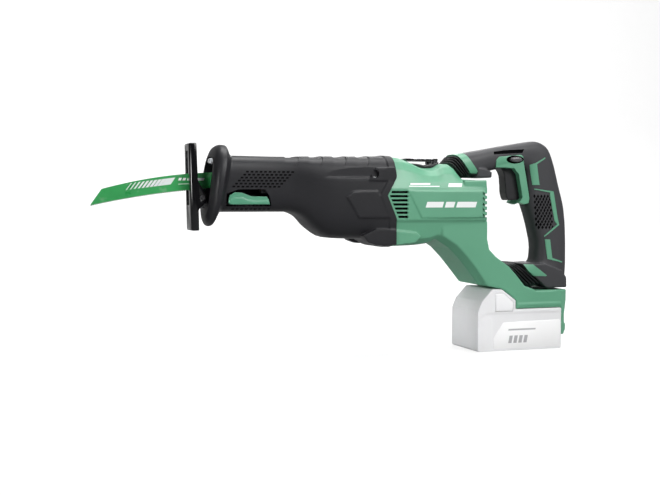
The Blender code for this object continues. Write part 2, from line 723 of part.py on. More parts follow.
def screw(x, z, y0, y1):
    """A socket screw along Y with its head on the right, out to y1 from the middle."""
    profile = [(y0, 2.0), (y1 - 3.0, 2.0), (y1 - 3.0, 3.6), (y1, 3.6)]
    body = turned(profile, (x, 0, z), "screw", axis="Y", count=14)
    return combine(body, [y_rod(x, z, y1 - 1.8, y1 + 5, 1.7, "socket", 6)])


SCREWS = {
    "Screw_Base_Rear": (272.0, 64.0),
    "Screw_Leg": (164.0, 104.0),
    "Screw_Motor_Low": (88.0, 141.0),
    "Screw_Motor_Rear": (160.0, 203.0),
}


def drill_screws(body):
    """Screw pillars and holes in the housing halves."""
    pillars = [y_rod(x, z, -half_at(x, z), half_at(x, z), 5.6, "pillar", 16) for x, z in SCREWS.values()]
    body = combine(body, pillars, "UNION")
    holes = []
    for x, z in SCREWS.values():
        edge = half_at(x, z)
        holes.append(y_rod(x, z, -edge + 6, edge - 6, 2.3, "hole", 14))
        holes.append(y_rod(x, z, edge - 7.0, 60, 3.9, "head", 14))
    return combine(body, holes)


def half_at(x, z):
    """How far out the screw pillars reach."""
    return 35.5 if z > 150 else LEG_HALF_W - 1.5


# ---------------------------------------------------------------- build

clear_scene()
PIECES = collection("Reciprocating_Saw")
MATERIALS = {
    "green": material("green", GREEN, 0.0, 0.4),
    "black": material("black", BLACK, 0.0, 0.6),
    "rubber": material("rubber", DARK, 0.0, 0.75),
    "steel": material("steel", STEEL, 1.0, 0.3),
    "shoe_steel": material("shoe_steel", SHOE_BLACK, 0.3, 0.15),
    "cast": material("cast", CAST, 1.0, 0.45),
    "blade_paint": material("blade_paint", (0.05, 0.33, 0.12), 0.0, 0.35),
    "pale": material("pale", PALE, 0.0, 0.5),
    "copper": material("copper", (0.55, 0.26, 0.12), 1.0, 0.35),
    "board": material("board", (0.02, 0.16, 0.07), 0.0, 0.4),
    "lens": material("lens", (0.9, 0.92, 0.95), 0.0, 0.1),
}


def build():
    keep(front_cover(), "Front_Cover", "rubber")
    keep(gear_case(), "Gear_Case", "cast")
    keep(bearing_plate(), "Bearing_Plate", "cast")
    keep(tube(-104, -84, 9.1, 11.0, PLUNGER_Z), "Bushing_Front", "steel")
    keep(tube(-64, -47, 9.1, 11.0, PLUNGER_Z), "Bushing_Rear", "steel")
    keep(plunger(), "Plunger", "steel")
    keep(move_origin(clamp_sleeve(), (-146.0, 0.0, PLUNGER_Z)), "Clamp_Sleeve", "steel")
    keep(blade(), "Blade", "blade_paint")
    keep(shoe(), "Shoe", "shoe_steel")
    keep(shoe_bar(), "Shoe_Bar", "steel")
    keep(y_rod(SHOE_PIN[0], SHOE_PIN[1], -14.6, 14.6, 3.0, "pin"), "Shoe_Pin", "steel")
    keep(blade_lever(), "Blade_Change_Lever", "green")
    keep(light(), "Work_Light", "lens")
    keep(wobble_ring(), "Wobble_Ring", "steel")
    keep(wobble_hub(), "Wobble_Hub", "steel")
    keep(intermediate_shaft(), "Intermediate_Shaft", "steel")
    keep(gear(GEAR_TEETH, 36, 44.5, SHAFT_Z, 5.2, math.pi / 2), "Large_Gear", "steel")
    keep(gear(PINION_TEETH, 34, 46, MOTOR_Z, 3.2, math.pi / 2 + math.pi / PINION_TEETH), "Pinion", "steel")
    keep(tube(-11.5, -6.5, 5.1, 8.0, SHAFT_Z, count=24), "Shaft_Bearing_Front", "steel")
    keep(tube(47.0, 51.5, 5.1, 6.8, SHAFT_Z, count=24), "Shaft_Bearing_Rear", "steel")
    keep(stator(), "Stator", "copper")
    keep(rotor_shaft(), "Rotor_Shaft", "steel")
    keep(tube(78, 128, 4.1, 17.0, MOTOR_Z, count=24), "Rotor_Core", "steel")
    keep(fan(), "Fan", "black")
    keep(tube(47.5, 52.5, 3.2, 7.6, MOTOR_Z, count=24), "Motor_Bearing_Front", "steel")
    keep(tube(147, 152.5, 4.2, 9.0, MOTOR_Z, count=24), "Motor_Bearing_Rear", "steel")
    body = drill_screws(housing())
    keep(half_of(body, -1, "left"), "Housing_Left", "green")
    keep(half_of(body, 1, "right"), "Housing_Right", "green")
    for name, (x, z) in SCREWS.items():
        keep(screw(x, z, -8.0, half_at(x, z) - 1.0), name, "steel")
    keep(box((176, -14, 86.5), (180, 14, 108), "board"), "Control_Board", "board")
    keep(box((222, -20, 57.0), (262, 20, 65), "terminals"), "Terminal_Block", "black")
    keep(rear_handle(), "Rear_Handle", "black")
    keep(y_rod(HANDLE_PIVOT[0], HANDLE_PIVOT[1], -27.5, 27.5, 3.0, "pin"), "Handle_Pin", "steel")
    keep(trigger(), "Trigger", "black")
    keep(box((212.0, -9.0, 229.2), (243.0, 9.0, 232.3), "switch"), "Trigger_Switch", "black")
    keep(y_rod(220.0, 237.5, -20.5, 20.5, 4.3, "lock", 16), "Lock_Off_Button", "black")
    keep(bellows(((147.8, 213.2), (130.0, 231.8)), ((159.4, 215.2), (139.2, 241.8)), 23.0, 4, "b"), "Bellows_Upper", "rubber")
    keep(bellows(((238.0, 74.5), (206.0, 106.0)), ((258.0, 78.5), (221.5, 107.5)), 27.0, 4, "b"), "Bellows_Lower", "rubber")
    keep(hook(), "Folding_Hook", "steel")
    keep(battery(), "Battery_Pack", "pale")
    keep(battery_button(-1), "Battery_Button_Left", "pale")
    keep(battery_button(1), "Battery_Button_Right", "pale")


build()
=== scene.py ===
"""Cordless reciprocating saw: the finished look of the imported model, laid out as an add-on.

Shapes are written in millimetres in the model's own frame: blade to -X, battery foot at z = 0.
Run it as a script: main() builds every piece in order and leaves a lit scene with a camera.
"""

import math

import bmesh
import bpy
import numpy as np
from bpy.props import FloatProperty, FloatVectorProperty, IntProperty, PointerProperty
from bpy.types import Operator, Panel, PropertyGroup
from mathutils import Matrix, Vector


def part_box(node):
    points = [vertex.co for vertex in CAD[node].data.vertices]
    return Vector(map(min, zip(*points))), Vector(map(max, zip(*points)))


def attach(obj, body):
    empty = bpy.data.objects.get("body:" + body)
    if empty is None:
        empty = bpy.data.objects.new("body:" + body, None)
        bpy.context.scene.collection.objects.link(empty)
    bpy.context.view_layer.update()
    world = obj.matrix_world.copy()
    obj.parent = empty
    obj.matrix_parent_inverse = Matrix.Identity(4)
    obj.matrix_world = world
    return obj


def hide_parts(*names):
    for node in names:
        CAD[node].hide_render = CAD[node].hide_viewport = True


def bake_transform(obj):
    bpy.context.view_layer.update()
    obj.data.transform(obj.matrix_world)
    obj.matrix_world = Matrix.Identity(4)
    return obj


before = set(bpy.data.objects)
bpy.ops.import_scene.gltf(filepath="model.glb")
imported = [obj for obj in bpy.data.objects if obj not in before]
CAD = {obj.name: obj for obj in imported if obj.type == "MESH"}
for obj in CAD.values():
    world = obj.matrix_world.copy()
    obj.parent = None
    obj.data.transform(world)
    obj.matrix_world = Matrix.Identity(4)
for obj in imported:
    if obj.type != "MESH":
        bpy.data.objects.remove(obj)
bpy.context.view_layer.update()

bl_info = {
    "name": "Reciprocating Saw",
    "version": (1, 0, 0),
    "blender": (4, 5, 0),
    "location": "View3D > Sidebar > Saw",
    "description": "Builds the finished pieces and materials of a cordless reciprocating saw",
    "category": "Object",
}

MM = 0.001
WIDE = 60.0  # millimetres from the middle plane, past either side of the saw


# ---------------- sizes and colours a user would change


def length(name, description, value):
    return FloatProperty(name=name, description=description, default=value, min=0.0, unit="LENGTH")


def number(name, description, value):
    return IntProperty(name=name, description=description, default=value, min=1)


def colour(name, description, value):
    return FloatVectorProperty(
        name=name, description=description, default=value, size=3, min=0.0, max=1.0, subtype="COLOR"
    )


class SAW_PG_sizes(PropertyGroup):
    """Sizes of the moulded detail."""

    mould: length("Moulding fineness", "Smallest edge that a moulded body keeps", 0.0009)
    soften: number("Softening", "Passes that round a moulded body's edges", 4)
    tooth_pitch: length("Tooth pitch", "Distance between blade teeth", 0.0024)
    tooth_depth: length("Tooth depth", "How far a blade tooth stands out", 0.0015)
    dimple_pitch: length("Dimple pitch", "Distance between the grip dimples on the nose", 0.0053)
    dimple_depth: length("Dimple depth", "How deep the grip dimples are", 0.0009)
    diamond_pitch: length("Diamond pitch", "Distance between the diamonds on the rear grip", 0.0046)
    bellows_ribs: number("Bellows ribs", "Ribs along each rubber bellows", 4)
    rib_depth: length("Rib depth", "How deep the folds of the bellows are", 0.0026)


class SAW_PG_colours(PropertyGroup):
    """Colours of the finishes."""

    shell: colour("Shell green", "Nylon housing", (0.115, 0.345, 0.212))
    lever: colour("Lever green", "Blade change lever", (0.078, 0.28, 0.17))
    cover: colour("Nose cover", "Soft black cover over the gear case", (0.015, 0.015, 0.0175))
    grip: colour("Rear grip", "Soft black overmould of the handle", (0.042, 0.042, 0.046))
    bellows: colour("Bellows", "Rubber bellows", (0.012, 0.012, 0.013))
    nylon: colour("Black nylon", "Trigger, hook seat and small black parts", (0.018, 0.018, 0.020))
    blade: colour("Blade paint", "Green paint on the blade", (0.034, 0.30, 0.082))
    mark: colour("Painted marks", "Plain bars printed on the shell and blade", (0.86, 0.88, 0.87))
    battery: colour("Battery case", "Pale battery case", (0.80, 0.80, 0.81))
    label: colour("Battery label", "White side plate of the battery", (0.90, 0.90, 0.90))
    floor: colour("Floor", "Plain pale floor", (0.25, 0.25, 0.25))


def sizes():
    return bpy.context.scene.saw_sizes


def colours():
    return bpy.context.scene.saw_colours


# ---------------- solids


def linked(name, data):
    """A new object in the scene that shows this mesh, light or camera."""
    obj = bpy.data.objects.new(name, data)
    bpy.context.scene.collection.objects.link(obj)
    return obj


def meshed(bm, name):
    """An object from a bmesh, which is used up."""
    mesh = bpy.data.meshes.new(name)
    bm.to_mesh(mesh)
    bm.free()
    return linked(name, mesh)


def solid(bm, name):
    """An object from a bmesh in millimetres, its faces turned outwards."""
    bmesh.ops.recalc_face_normals(bm, faces=bm.faces)
    if bm.calc_volume(signed=True) < 0:
        bmesh.ops.reverse_faces(bm, faces=bm.faces)
    bmesh.ops.scale(bm, vec=(MM, MM, MM), verts=bm.verts)
    return meshed(bm, name)


def skin(rings, name, edge=0.0):
    """Closes successive rings of points into a solid; edge rounds the rims of its two flat ends."""
    bm = bmesh.new()
    rows = [[bm.verts.new(point) for point in ring] for ring in rings]
    count = len(rows[0])
    for a, b in zip(rows, rows[1:]):
        for i in range(count):
            j = (i + 1) % count
            bm.faces.new((a[i], a[j], b[j], b[i]))
    ends = [bm.faces.new(rows[0]), bm.faces.new(rows[-1][::-1])]
    if edge:
        rims = [rim for end in ends for rim in end.edges]
        bmesh.ops.bevel(bm, geom=rims, offset=edge, segments=2, profile=0.5, affect="EDGES")
    return solid(bm, name)


def prism(outline, low, high, name="prism", edge=0.0, along="Y"):
    """An outline given thickness: of (x, z) points along Y, or of (x, y) points along Z."""
    if along == "Y":
        rings = [[(a, depth, b) for a, b in outline] for depth in (low, high)]
    else:
        rings = [[(a, b, depth) for a, b in outline] for depth in (low, high)]
    return skin(rings, name, edge)


def box(low, high):
    """A block between two opposite corners."""
    corners = [(low[0], low[2]), (high[0], low[2]), (high[0], high[2]), (low[0], high[2])]
    return prism(corners, low[1], high[1], "box")


def oval_ring(x, y, z, half_length, half_height, count):
    """An oval of points across Y, round (x, z)."""
    angles = [2 * math.pi * i / count for i in range(count)]
    return [(x + half_length * math.cos(a), y, z + half_height * math.sin(a)) for a in angles]


def turned(profile, x, z, count=32):
    """A shape turned about the line along Y through (x, z), from rows of y and radius."""
    return skin([oval_ring(x, y, z, radius, radius, count) for y, radius in profile], "turned")


def flowing(rows, steps):
    """More rows between these, on smooth curves that don't swing past them."""
    rows = np.array(rows, float)
    reach = np.linalg.norm(np.diff(rows[:, :2], axis=0), axis=1)
    slope = np.diff(rows, axis=0) / reach[:, None]
    before, after = slope[:-1], slope[1:]
    same = before * after > 0
    middle = np.where(same, 2 * before * after / np.where(same, before + after, 1.0), 0.0)
    lean = np.vstack([slope[:1], middle, slope[-1:]])
    made = []
    for i, gap in enumerate(reach):
        for t in np.arange(steps) / steps:
            made.append(
                (1 + 2 * t) * (1 - t) ** 2 * rows[i]
                + t * (1 - t) ** 2 * gap * lean[i]
                + t * t * (3 - 2 * t) * rows[i + 1]
                + t * t * (t - 1) * gap * lean[i + 1]
            )
    return [tuple(row) for row in made] + [tuple(rows[-1])]


def round_ring(x, z0, z1, half_w, lean=0.0, grow=0.0, power=4.0, count=64):
    """Rounded rectangle across X, leaning forward with height."""
    middle, half_h, half_w = (z0 + z1) / 2, (z1 - z0) / 2 + grow, half_w + grow
    points = []
    for i in range(count):
        angle = 2 * math.pi * (i + 0.5) / count
        c, s = math.cos(angle), math.sin(angle)
        y = half_w * math.copysign(abs(c) ** (2 / power), c)
        z = half_h * math.copysign(abs(s) ** (2 / power), s)
        points.append((x + lean * z, y, middle + z))
    return points


def spine_ring(x1, z1, x2, z2, half_w, grow=0.0, power=3.0, count=48):
    """Rounded section lying across the line from (x1, z1) to (x2, z2)."""
    span = math.hypot(x2 - x1, z2 - z1)
    dx, dz = (x2 - x1) / span * grow, (z2 - z1) / span * grow
    x1, z1, x2, z2, half_w = x1 - dx, z1 - dz, x2 + dx, z2 + dz, half_w + grow
    points = []
    for i in range(count):
        angle = 2 * math.pi * (i + 0.5) / count
        c, s = math.cos(angle), math.sin(angle)
        t = 0.5 + 0.5 * math.copysign(abs(s) ** (2 / power), s)
        y = half_w * math.copysign(abs(c) ** (2 / power), c)
        points.append((x1 + (x2 - x1) * t, y, z1 + (z2 - z1) * t))
    return points


def folded_ring(x, half):
    """A closed ring across X from the (y, z) points of one side; both its ends lie on the middle."""
    left = [(x, -y, z) for y, z in half]
    right = [(x, y, z) for y, z in half[-2:0:-1]]
    return left + right


# ---------------- changing solids


def baked(obj):
    """Turns the object's modifiers into its mesh."""
    graph = bpy.context.evaluated_depsgraph_get()
    mesh = bpy.data.meshes.new_from_object(obj.evaluated_get(graph))
    mesh.name = obj.name
    obj.modifiers.clear()
    obj.data = mesh
    return obj


def cut(obj, *cutters, how="DIFFERENCE"):
    """Cuts, joins or crosses the object with each of the others, which are thrown away."""
    for other in cutters:
        mod = obj.modifiers.new("cut", "BOOLEAN")
        mod.operation = how
        mod.solver = "EXACT"
        mod.material_mode = "TRANSFER"
        mod.object = other
    baked(obj)
    for other in cutters:
        bpy.data.objects.remove(other)
    return obj


def cross(obj, *others):
    return cut(obj, *others, how="INTERSECT")


def side_plate(side, outline, inner, outer, edge=0.0):
    """A prism lying against one side of the saw, from inner to outer half width."""
    low, high = sorted((side * inner, side * outer))
    return prism(outline, low, high, "side", edge)


def plates(outline, inner, outer, edge=0.0):
    """The same plate against both sides of the saw."""
    return [side_plate(side, outline, inner, outer, edge) for side in (-1, 1)]


def merged(obj, *others):
    """One mesh from several, with nothing cut where they overlap."""
    bm = bmesh.new()
    for part in (obj, *others):
        bm.from_mesh(part.data)
    for part in others:
        bpy.data.objects.remove(part)
    bm.to_mesh(obj.data)
    bm.free()
    return obj


def moulded(obj, *others, mould=1.0, rounds=1.0, keep=0.4):
    """One body from solids that overlap, with the soft edges of a moulding."""
    merged(obj, *others)
    remesh = obj.modifiers.new("mould", "REMESH")
    remesh.mode = "VOXEL"
    remesh.voxel_size = sizes().mould * mould
    smooth = obj.modifiers.new("soften", "SMOOTH")
    smooth.iterations = round(sizes().soften * rounds)
    thin = obj.modifiers.new("thin", "DECIMATE")
    thin.ratio = keep
    return baked(obj)


def rounded(obj, width):
    """Rounds the hard edges of a clean solid; width in millimetres."""
    bevel = obj.modifiers.new("round", "BEVEL")
    bevel.width = width * MM
    bevel.segments = 2
    bevel.limit_method = "ANGLE"
    bevel.angle_limit = math.radians(30)
    bevel.harden_normals = False
    return baked(obj)


def copied(node, name):
    """A clean copy of a CAD node's shape: its loose triangles merged into flat faces."""
    bm = bmesh.new()
    bm.from_mesh(CAD[node].data)
    bmesh.ops.remove_doubles(bm, verts=bm.verts, dist=1e-6)
    bmesh.ops.dissolve_limit(bm, angle_limit=math.radians(2), verts=bm.verts, edges=bm.edges)
    return meshed(bm, name)


def painted(obj, name):
    """Gives a solid its material before it is cut, so that a cutter can bring another."""
    obj.data.materials.clear()
    obj.data.materials.append(finish(name))
    return obj


def place(obj, name, body, paint, replaces=(), angle=35):
    """Names a finished piece, shades it, gives it its material and hands it to the frame."""
    obj.name = name
    obj.data.name = name
    if paint:
        painted(obj, paint)
    obj.data.shade_smooth()
    obj.data.set_sharp_from_angle(angle=math.radians(angle))
    if body:
        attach(obj, body)
    if replaces:
        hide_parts(*replaces)
    return obj


# ---------------- node trees


def add(tree, kind, values=None, **settings):
    """Adds a node; values are constants or sockets for its inputs, by name or number."""
    node = tree.nodes.new(kind)
    for key, value in settings.items():
        setattr(node, key, value)
    for key, value in (values or {}).items():
        socket = node.inputs[key]
        if isinstance(value, bpy.types.NodeSocket):
            tree.links.new(value, socket)
        else:
            socket.default_value = value
    return node


def calc(tree, operation, *values):
    """The result of one Math node."""
    return add(tree, "ShaderNodeMath", dict(enumerate(values)), operation=operation).outputs[0]


def vector_calc(tree, operation, values):
    """The result of one Vector Math node."""
    return add(tree, "ShaderNodeVectorMath", values, operation=operation).outputs[0]


def new_group(name, kind, inputs, outputs):
    """A node group with these sockets: returns it, its inputs by name, and its output node."""
    tree = bpy.data.node_groups.new(name, kind)
    for label, socket_type, default in inputs:
        socket = tree.interface.new_socket(label, in_out="INPUT", socket_type=socket_type)
        if default is not None:
            socket.default_value = default
    for label, socket_type in outputs:
        tree.interface.new_socket(label, in_out="OUTPUT", socket_type=socket_type)
    given = tree.nodes.new("NodeGroupInput").outputs
    return tree, given, tree.nodes.new("NodeGroupOutput")


FLOAT, VECTOR, INT = "NodeSocketFloat", "NodeSocketVector", "NodeSocketInt"
OBJECT, MATERIAL, GEOMETRY = "NodeSocketObject", "NodeSocketMaterial", "NodeSocketGeometry"


# ---------------- geometry trees for what repeats


def geometry_group(name, inputs):
    """A geometry tree with these inputs, a Material input and one Geometry output."""
    outputs = [("Geometry", GEOMETRY)]
    return new_group(name, "GeometryNodeTree", inputs + [("Material", MATERIAL, None)], outputs)


def end_tree(tree, shapes, given, output):
    """Ends a tree with real geometry that has its material."""
    real = add(tree, "GeometryNodeRealizeInstances", {0: shapes}).outputs[0]
    done = add(tree, "GeometryNodeSetMaterial", {"Geometry": real, "Material": given["Material"]})
    tree.links.new(done.outputs[0], output.inputs[0])
    return tree


def copies(tree, given, output, points, **more):
    """Ends a tree with a copy of the Shape input at each point, made real and given its material."""
    shape = add(tree, "GeometryNodeObjectInfo", {"Object": given["Shape"]}).outputs["Geometry"]
    many = add(tree, "GeometryNodeInstanceOnPoints", {"Points": points, "Instance": shape, **more})
    return end_tree(tree, many.outputs[0], given, output)


def row_tree():
    """Copies a shape along a straight row."""
    inputs = [("Count", INT, 5), ("Step", VECTOR, None), ("Shape", OBJECT, None)]
    tree, given, output = geometry_group("Row of shapes", inputs)
    line = add(tree, "GeometryNodeMeshLine", {"Count": given["Count"], "Offset": given["Step"]})
    return copies(tree, given, output, line.outputs[0])


def field_tree():
    """Sets a small shape on a surface in slanting rows, each copy turned to face out from its side."""
    inputs = [("Columns", INT, 5), ("Rows", INT, 5), ("Corner", VECTOR, None), ("Across", VECTOR, None)]
    inputs += [("Down", VECTOR, None), ("Stagger", FLOAT, 0.0), ("Side", FLOAT, -1.0)]
    inputs += [("Surface", OBJECT, None), ("Shape", OBJECT, None)]
    tree, given, output = geometry_group("Field on a surface", inputs)
    total = calc(tree, "MULTIPLY", given["Columns"], given["Rows"])
    line = add(tree, "GeometryNodeMeshLine", {"Count": total})
    index = add(tree, "GeometryNodeInputIndex").outputs[0]
    row = calc(tree, "FLOOR", calc(tree, "DIVIDE", calc(tree, "ADD", index, 0.5), given["Columns"]))
    column = calc(tree, "SUBTRACT", index, calc(tree, "MULTIPLY", row, given["Columns"]))
    odd = calc(tree, "MULTIPLY", calc(tree, "MODULO", row, 2.0), given["Stagger"])
    across = vector_calc(tree, "SCALE", {0: given["Across"], "Scale": calc(tree, "ADD", column, odd)})
    down = vector_calc(tree, "SCALE", {0: given["Down"], "Scale": row})
    moved = vector_calc(tree, "ADD", {0: across, 1: down})
    start = vector_calc(tree, "ADD", {0: moved, 1: given["Corner"]})
    points = add(tree, "GeometryNodeSetPosition", {"Geometry": line.outputs[0], "Position": start})
    target = add(tree, "GeometryNodeObjectInfo", {"Object": given["Surface"]}).outputs["Geometry"]
    inward = calc(tree, "MULTIPLY", given["Side"], -1.0)
    toward = add(tree, "ShaderNodeCombineXYZ", {"Y": inward}).outputs[0]
    aimed = {"Target Geometry": target, "Source Position": start, "Ray Direction": toward}
    ray = add(tree, "GeometryNodeRaycast", {**aimed, "Ray Length": 0.1}).outputs
    hit = {"Geometry": points.outputs[0], "Selection": ray["Is Hit"], "Position": ray["Hit Position"]}
    landed = add(tree, "GeometryNodeSetPosition", hit).outputs[0]
    half_turn = calc(tree, "MULTIPLY", calc(tree, "ADD", given["Side"], 1.0), math.pi / 2)
    facing = add(tree, "FunctionNodeAxisAngleToRotation", {"Axis": (0, 0, 1), "Angle": half_turn})
    return copies(tree, given, output, landed, Selection=ray["Is Hit"], Rotation=facing.outputs[0])


def path_tree():
    """Copies a shape along a path at an even pitch, turned to follow it."""
    inputs = [("Path", GEOMETRY, None), ("Pitch", FLOAT, 0.002), ("Shape", OBJECT, None)]
    tree, given, output = geometry_group("Shapes along a path", inputs)
    curve = add(tree, "GeometryNodeMeshToCurve", {0: given["Path"]}).outputs[0]
    spaced = {"Curve": curve, "Length": given["Pitch"]}
    points = add(tree, "GeometryNodeCurveToPoints", spaced, mode="LENGTH")
    turn = add(tree, "FunctionNodeAlignRotationToVector", {"Vector": points.outputs["Tangent"]}, axis="X")
    return copies(tree, given, output, points.outputs[0], Rotation=turn.outputs[0])


def rib_tree():
    """Folds a soft tube into ribs: its 'along' attribute runs from 0 to 1 down its length."""
    inputs = [("Geometry", GEOMETRY, None), ("Ribs", INT, 4), ("Depth", FLOAT, 0.002)]
    tree, given, output = geometry_group("Ribbed tube", inputs)
    along = add(tree, "GeometryNodeInputNamedAttribute", {"Name": "along"}, data_type="FLOAT").outputs[0]
    turns = calc(tree, "MULTIPLY", calc(tree, "MULTIPLY", along, given["Ribs"]), 2 * math.pi)
    wave = calc(tree, "MULTIPLY_ADD", calc(tree, "COSINE", turns), 0.5, 0.5)
    inward = calc(tree, "MULTIPLY", given["Depth"], -1.0)
    fold = calc(tree, "MULTIPLY", calc(tree, "POWER", wave, 1.6), inward)
    normal = add(tree, "GeometryNodeInputNormal").outputs[0]
    push = vector_calc(tree, "SCALE", {0: normal, "Scale": fold})
    folded = add(tree, "GeometryNodeSetPosition", {"Geometry": given["Geometry"], "Offset": push})
    return end_tree(tree, folded.outputs[0], given, output)


def grown(tree_name, make, name, values, start=None):
    """Runs a geometry tree with its inputs set by name and keeps the result as a plain mesh."""
    tree = bpy.data.node_groups.get(tree_name) or make()
    obj = start or linked(name, bpy.data.meshes.new(name))
    mod = obj.modifiers.new("grow", "NODES")
    mod.node_group = tree
    for item in tree.interface.items_tree:
        if item.in_out == "INPUT" and item.name in values:
            mod[item.identifier] = values[item.name]
    for value in values.values():
        if isinstance(value, bpy.types.Object):
            value.location = value.location
    obj.update_tag()
    bpy.context.view_layer.update()
    return baked(obj)


def row(shape, count, step):
    """Copies of a shape in a row, with the step in millimetres; the shape itself is thrown away."""
    values = {"Count": count, "Step": Vector(step) * MM, "Shape": shape}
    made = grown("Row of shapes", row_tree, "row", values)
    bpy.data.objects.remove(shape)
    return made


def field(surface, shape, side, counts, corner, across, down, stagger=0.0):
    """Copies of a shape on one side of a surface, in rows, that paint the walls they cut near-black as
    shade; sizes in millimetres.
    """
    start = Vector((corner[0], side * WIDE, corner[1])) * MM
    values = {"Columns": counts[0], "Rows": counts[1], "Corner": start, "Stagger": stagger}
    values["Side"] = float(side)
    values["Across"] = Vector((across, 0.0, 0.0)) * MM
    values["Down"] = Vector((down[0], 0.0, down[1])) * MM
    values.update({"Surface": surface, "Shape": shape, "Material": finish("Pit_Black")})
    return grown("Field on a surface", field_tree, "field", values)


# ---------------- shader groups


def object_mm(tree):
    """The three Object coordinates in millimetres."""
    place_node = add(tree, "ShaderNodeTexCoord")
    where = vector_calc(tree, "SCALE", {0: place_node.outputs["Object"], "Scale": 1 / MM})
    return where, add(tree, "ShaderNodeSeparateXYZ", {0: where}).outputs


def noise_of(tree, where, scale, detail):
    """Noise from 0 to 1 at a scale in lumps per millimetre."""
    return add(tree, "ShaderNodeTexNoise", {"Vector": where, "Scale": scale, "Detail": detail}).outputs[0]


def mask_group(name, inputs):
    """A shader group with these inputs and one Mask output."""
    return new_group(name, "ShaderNodeTree", inputs, [("Mask", FLOAT)])


def surface_group(name, inputs):
    """A shader group with these inputs and the outputs Height and Tone."""
    return new_group(name, "ShaderNodeTree", inputs, [("Height", FLOAT), ("Tone", FLOAT)])


def ramp(tree, value, low, high, bottom=0.0, top=1.0):
    """The value remapped from low..high to bottom..top, and held there."""
    return add(tree, "ShaderNodeMapRange", {0: value, 1: low, 2: high, 3: bottom, 4: top}).outputs[0]


def grain_group():
    """Fine moulded grain as height, and slow patches of tone."""
    inputs = [("Grain Size", FLOAT, 0.5), ("Patch Size", FLOAT, 45.0)]
    tree, given, output = surface_group("Moulded grain", inputs)
    where, _ = object_mm(tree)
    fine = noise_of(tree, where, calc(tree, "DIVIDE", 1.0, given["Grain Size"]), 3.0)
    slow = noise_of(tree, where, calc(tree, "DIVIDE", 1.0, given["Patch Size"]), 4.0)
    tree.links.new(fine, output.inputs["Height"])
    tree.links.new(slow, output.inputs["Tone"])
    return tree


def wear_and_highlight_group():
    """Outer edges, broken up by noise: rubbed wear, and on the black shoe and the hook also a painted
    highlight.
    """
    inputs = [("Start", FLOAT, 0.53), ("End", FLOAT, 0.60), ("Breakup Size", FLOAT, 4.0)]
    tree, given, output = mask_group("Edge wear", inputs)
    where, _ = object_mm(tree)
    sharp = add(tree, "ShaderNodeNewGeometry").outputs["Pointiness"]
    edge = ramp(tree, sharp, given["Start"], given["End"])
    noise = noise_of(tree, where, calc(tree, "DIVIDE", 1.0, given["Breakup Size"]), 2.0)
    broken = ramp(tree, noise, 0.42, 0.66)
    tree.links.new(calc(tree, "MULTIPLY", edge, broken), output.inputs[0])
    return tree


def dust_group():
    """A thin settling of dust on faces that look up."""
    tree, given, output = mask_group("Settled dust", [("Amount", FLOAT, 0.3)])
    where, _ = object_mm(tree)
    normal = add(tree, "ShaderNodeNewGeometry").outputs["Normal"]
    up = add(tree, "ShaderNodeSeparateXYZ", {0: normal}).outputs[2]
    noise = noise_of(tree, where, 0.09, 6.0)
    fleck = ramp(tree, noise, 0.45, 0.7)
    mask = calc(tree, "MULTIPLY", calc(tree, "MAXIMUM", up, 0.0), fleck)
    tree.links.new(calc(tree, "MULTIPLY", mask, given["Amount"]), output.inputs[0])
    return tree


def bar_group():
    """A plain slanted bar printed on both sides: sizes in millimetres, soft only at its very edge."""
    inputs = [("Middle X", FLOAT, 0.0), ("Middle Z", FLOAT, 0.0), ("Half Length", FLOAT, 10.0)]
    inputs += [("Half Height", FLOAT, 2.0), ("Slant", FLOAT, 0.0), ("Rise", FLOAT, 0.0)]
    inputs += [("Least Y", FLOAT, 0.0)]
    tree, given, output = mask_group("Printed bar", inputs)
    _, (x, y, z) = object_mm(tree)
    dx = calc(tree, "SUBTRACT", x, given["Middle X"])
    dz = calc(tree, "SUBTRACT", z, given["Middle Z"])
    dz = calc(tree, "SUBTRACT", dz, calc(tree, "MULTIPLY", dx, given["Rise"]))
    dx = calc(tree, "SUBTRACT", dx, calc(tree, "MULTIPLY", dz, given["Slant"]))
    mask = None
    for distance, limit in ((dx, given["Half Length"]), (dz, given["Half Height"])):
        inside = calc(tree, "SUBTRACT", limit, calc(tree, "ABSOLUTE", distance))
        inside = calc(tree, "MULTIPLY_ADD", inside, 8.0, 0.5)
        inside = add(tree, "ShaderNodeClamp", {0: inside}).outputs[0]
        mask = inside if mask is None else calc(tree, "MULTIPLY", mask, inside)
    outer = calc(tree, "GREATER_THAN", calc(tree, "ABSOLUTE", y), given["Least Y"])
    tree.links.new(calc(tree, "MULTIPLY", mask, outer), output.inputs[0])
    return tree


def brushed_group():
    """Fine grinding lines along one direction: the vector squeezes the noise across the lines."""
    inputs = [("Squeeze", VECTOR, (0.15, 6, 6))]
    tree, given, output = surface_group("Brushed lines", inputs)
    where, _ = object_mm(tree)
    lines = vector_calc(tree, "MULTIPLY", {0: where, 1: given["Squeeze"]})
    tree.links.new(noise_of(tree, lines, 1.0, 4.0), output.inputs["Height"])
    tree.links.new(noise_of(tree, where, 0.08, 5.0), output.inputs["Tone"])
    return tree


def stripe_group():
    """Slanted stripes that widen along X until they meet."""
    inputs = [("Start X", FLOAT, -264.0), ("End X", FLOAT, -218.0)]
    inputs += [("Pitch", FLOAT, 4.0), ("Slant", FLOAT, 0.75)]
    tree, given, output = mask_group("Widening stripes", inputs)
    _, (x, _, z) = object_mm(tree)
    rise = calc(tree, "MULTIPLY", calc(tree, "SUBTRACT", z, 204.0), given["Slant"])
    slid = calc(tree, "SUBTRACT", x, rise)
    share = ramp(tree, slid, given["Start X"], given["End X"], 0.1, 1.02)
    phase = calc(tree, "FRACT", calc(tree, "DIVIDE", slid, given["Pitch"]))
    tree.links.new(calc(tree, "LESS_THAN", phase, share), output.inputs[0])
    return tree


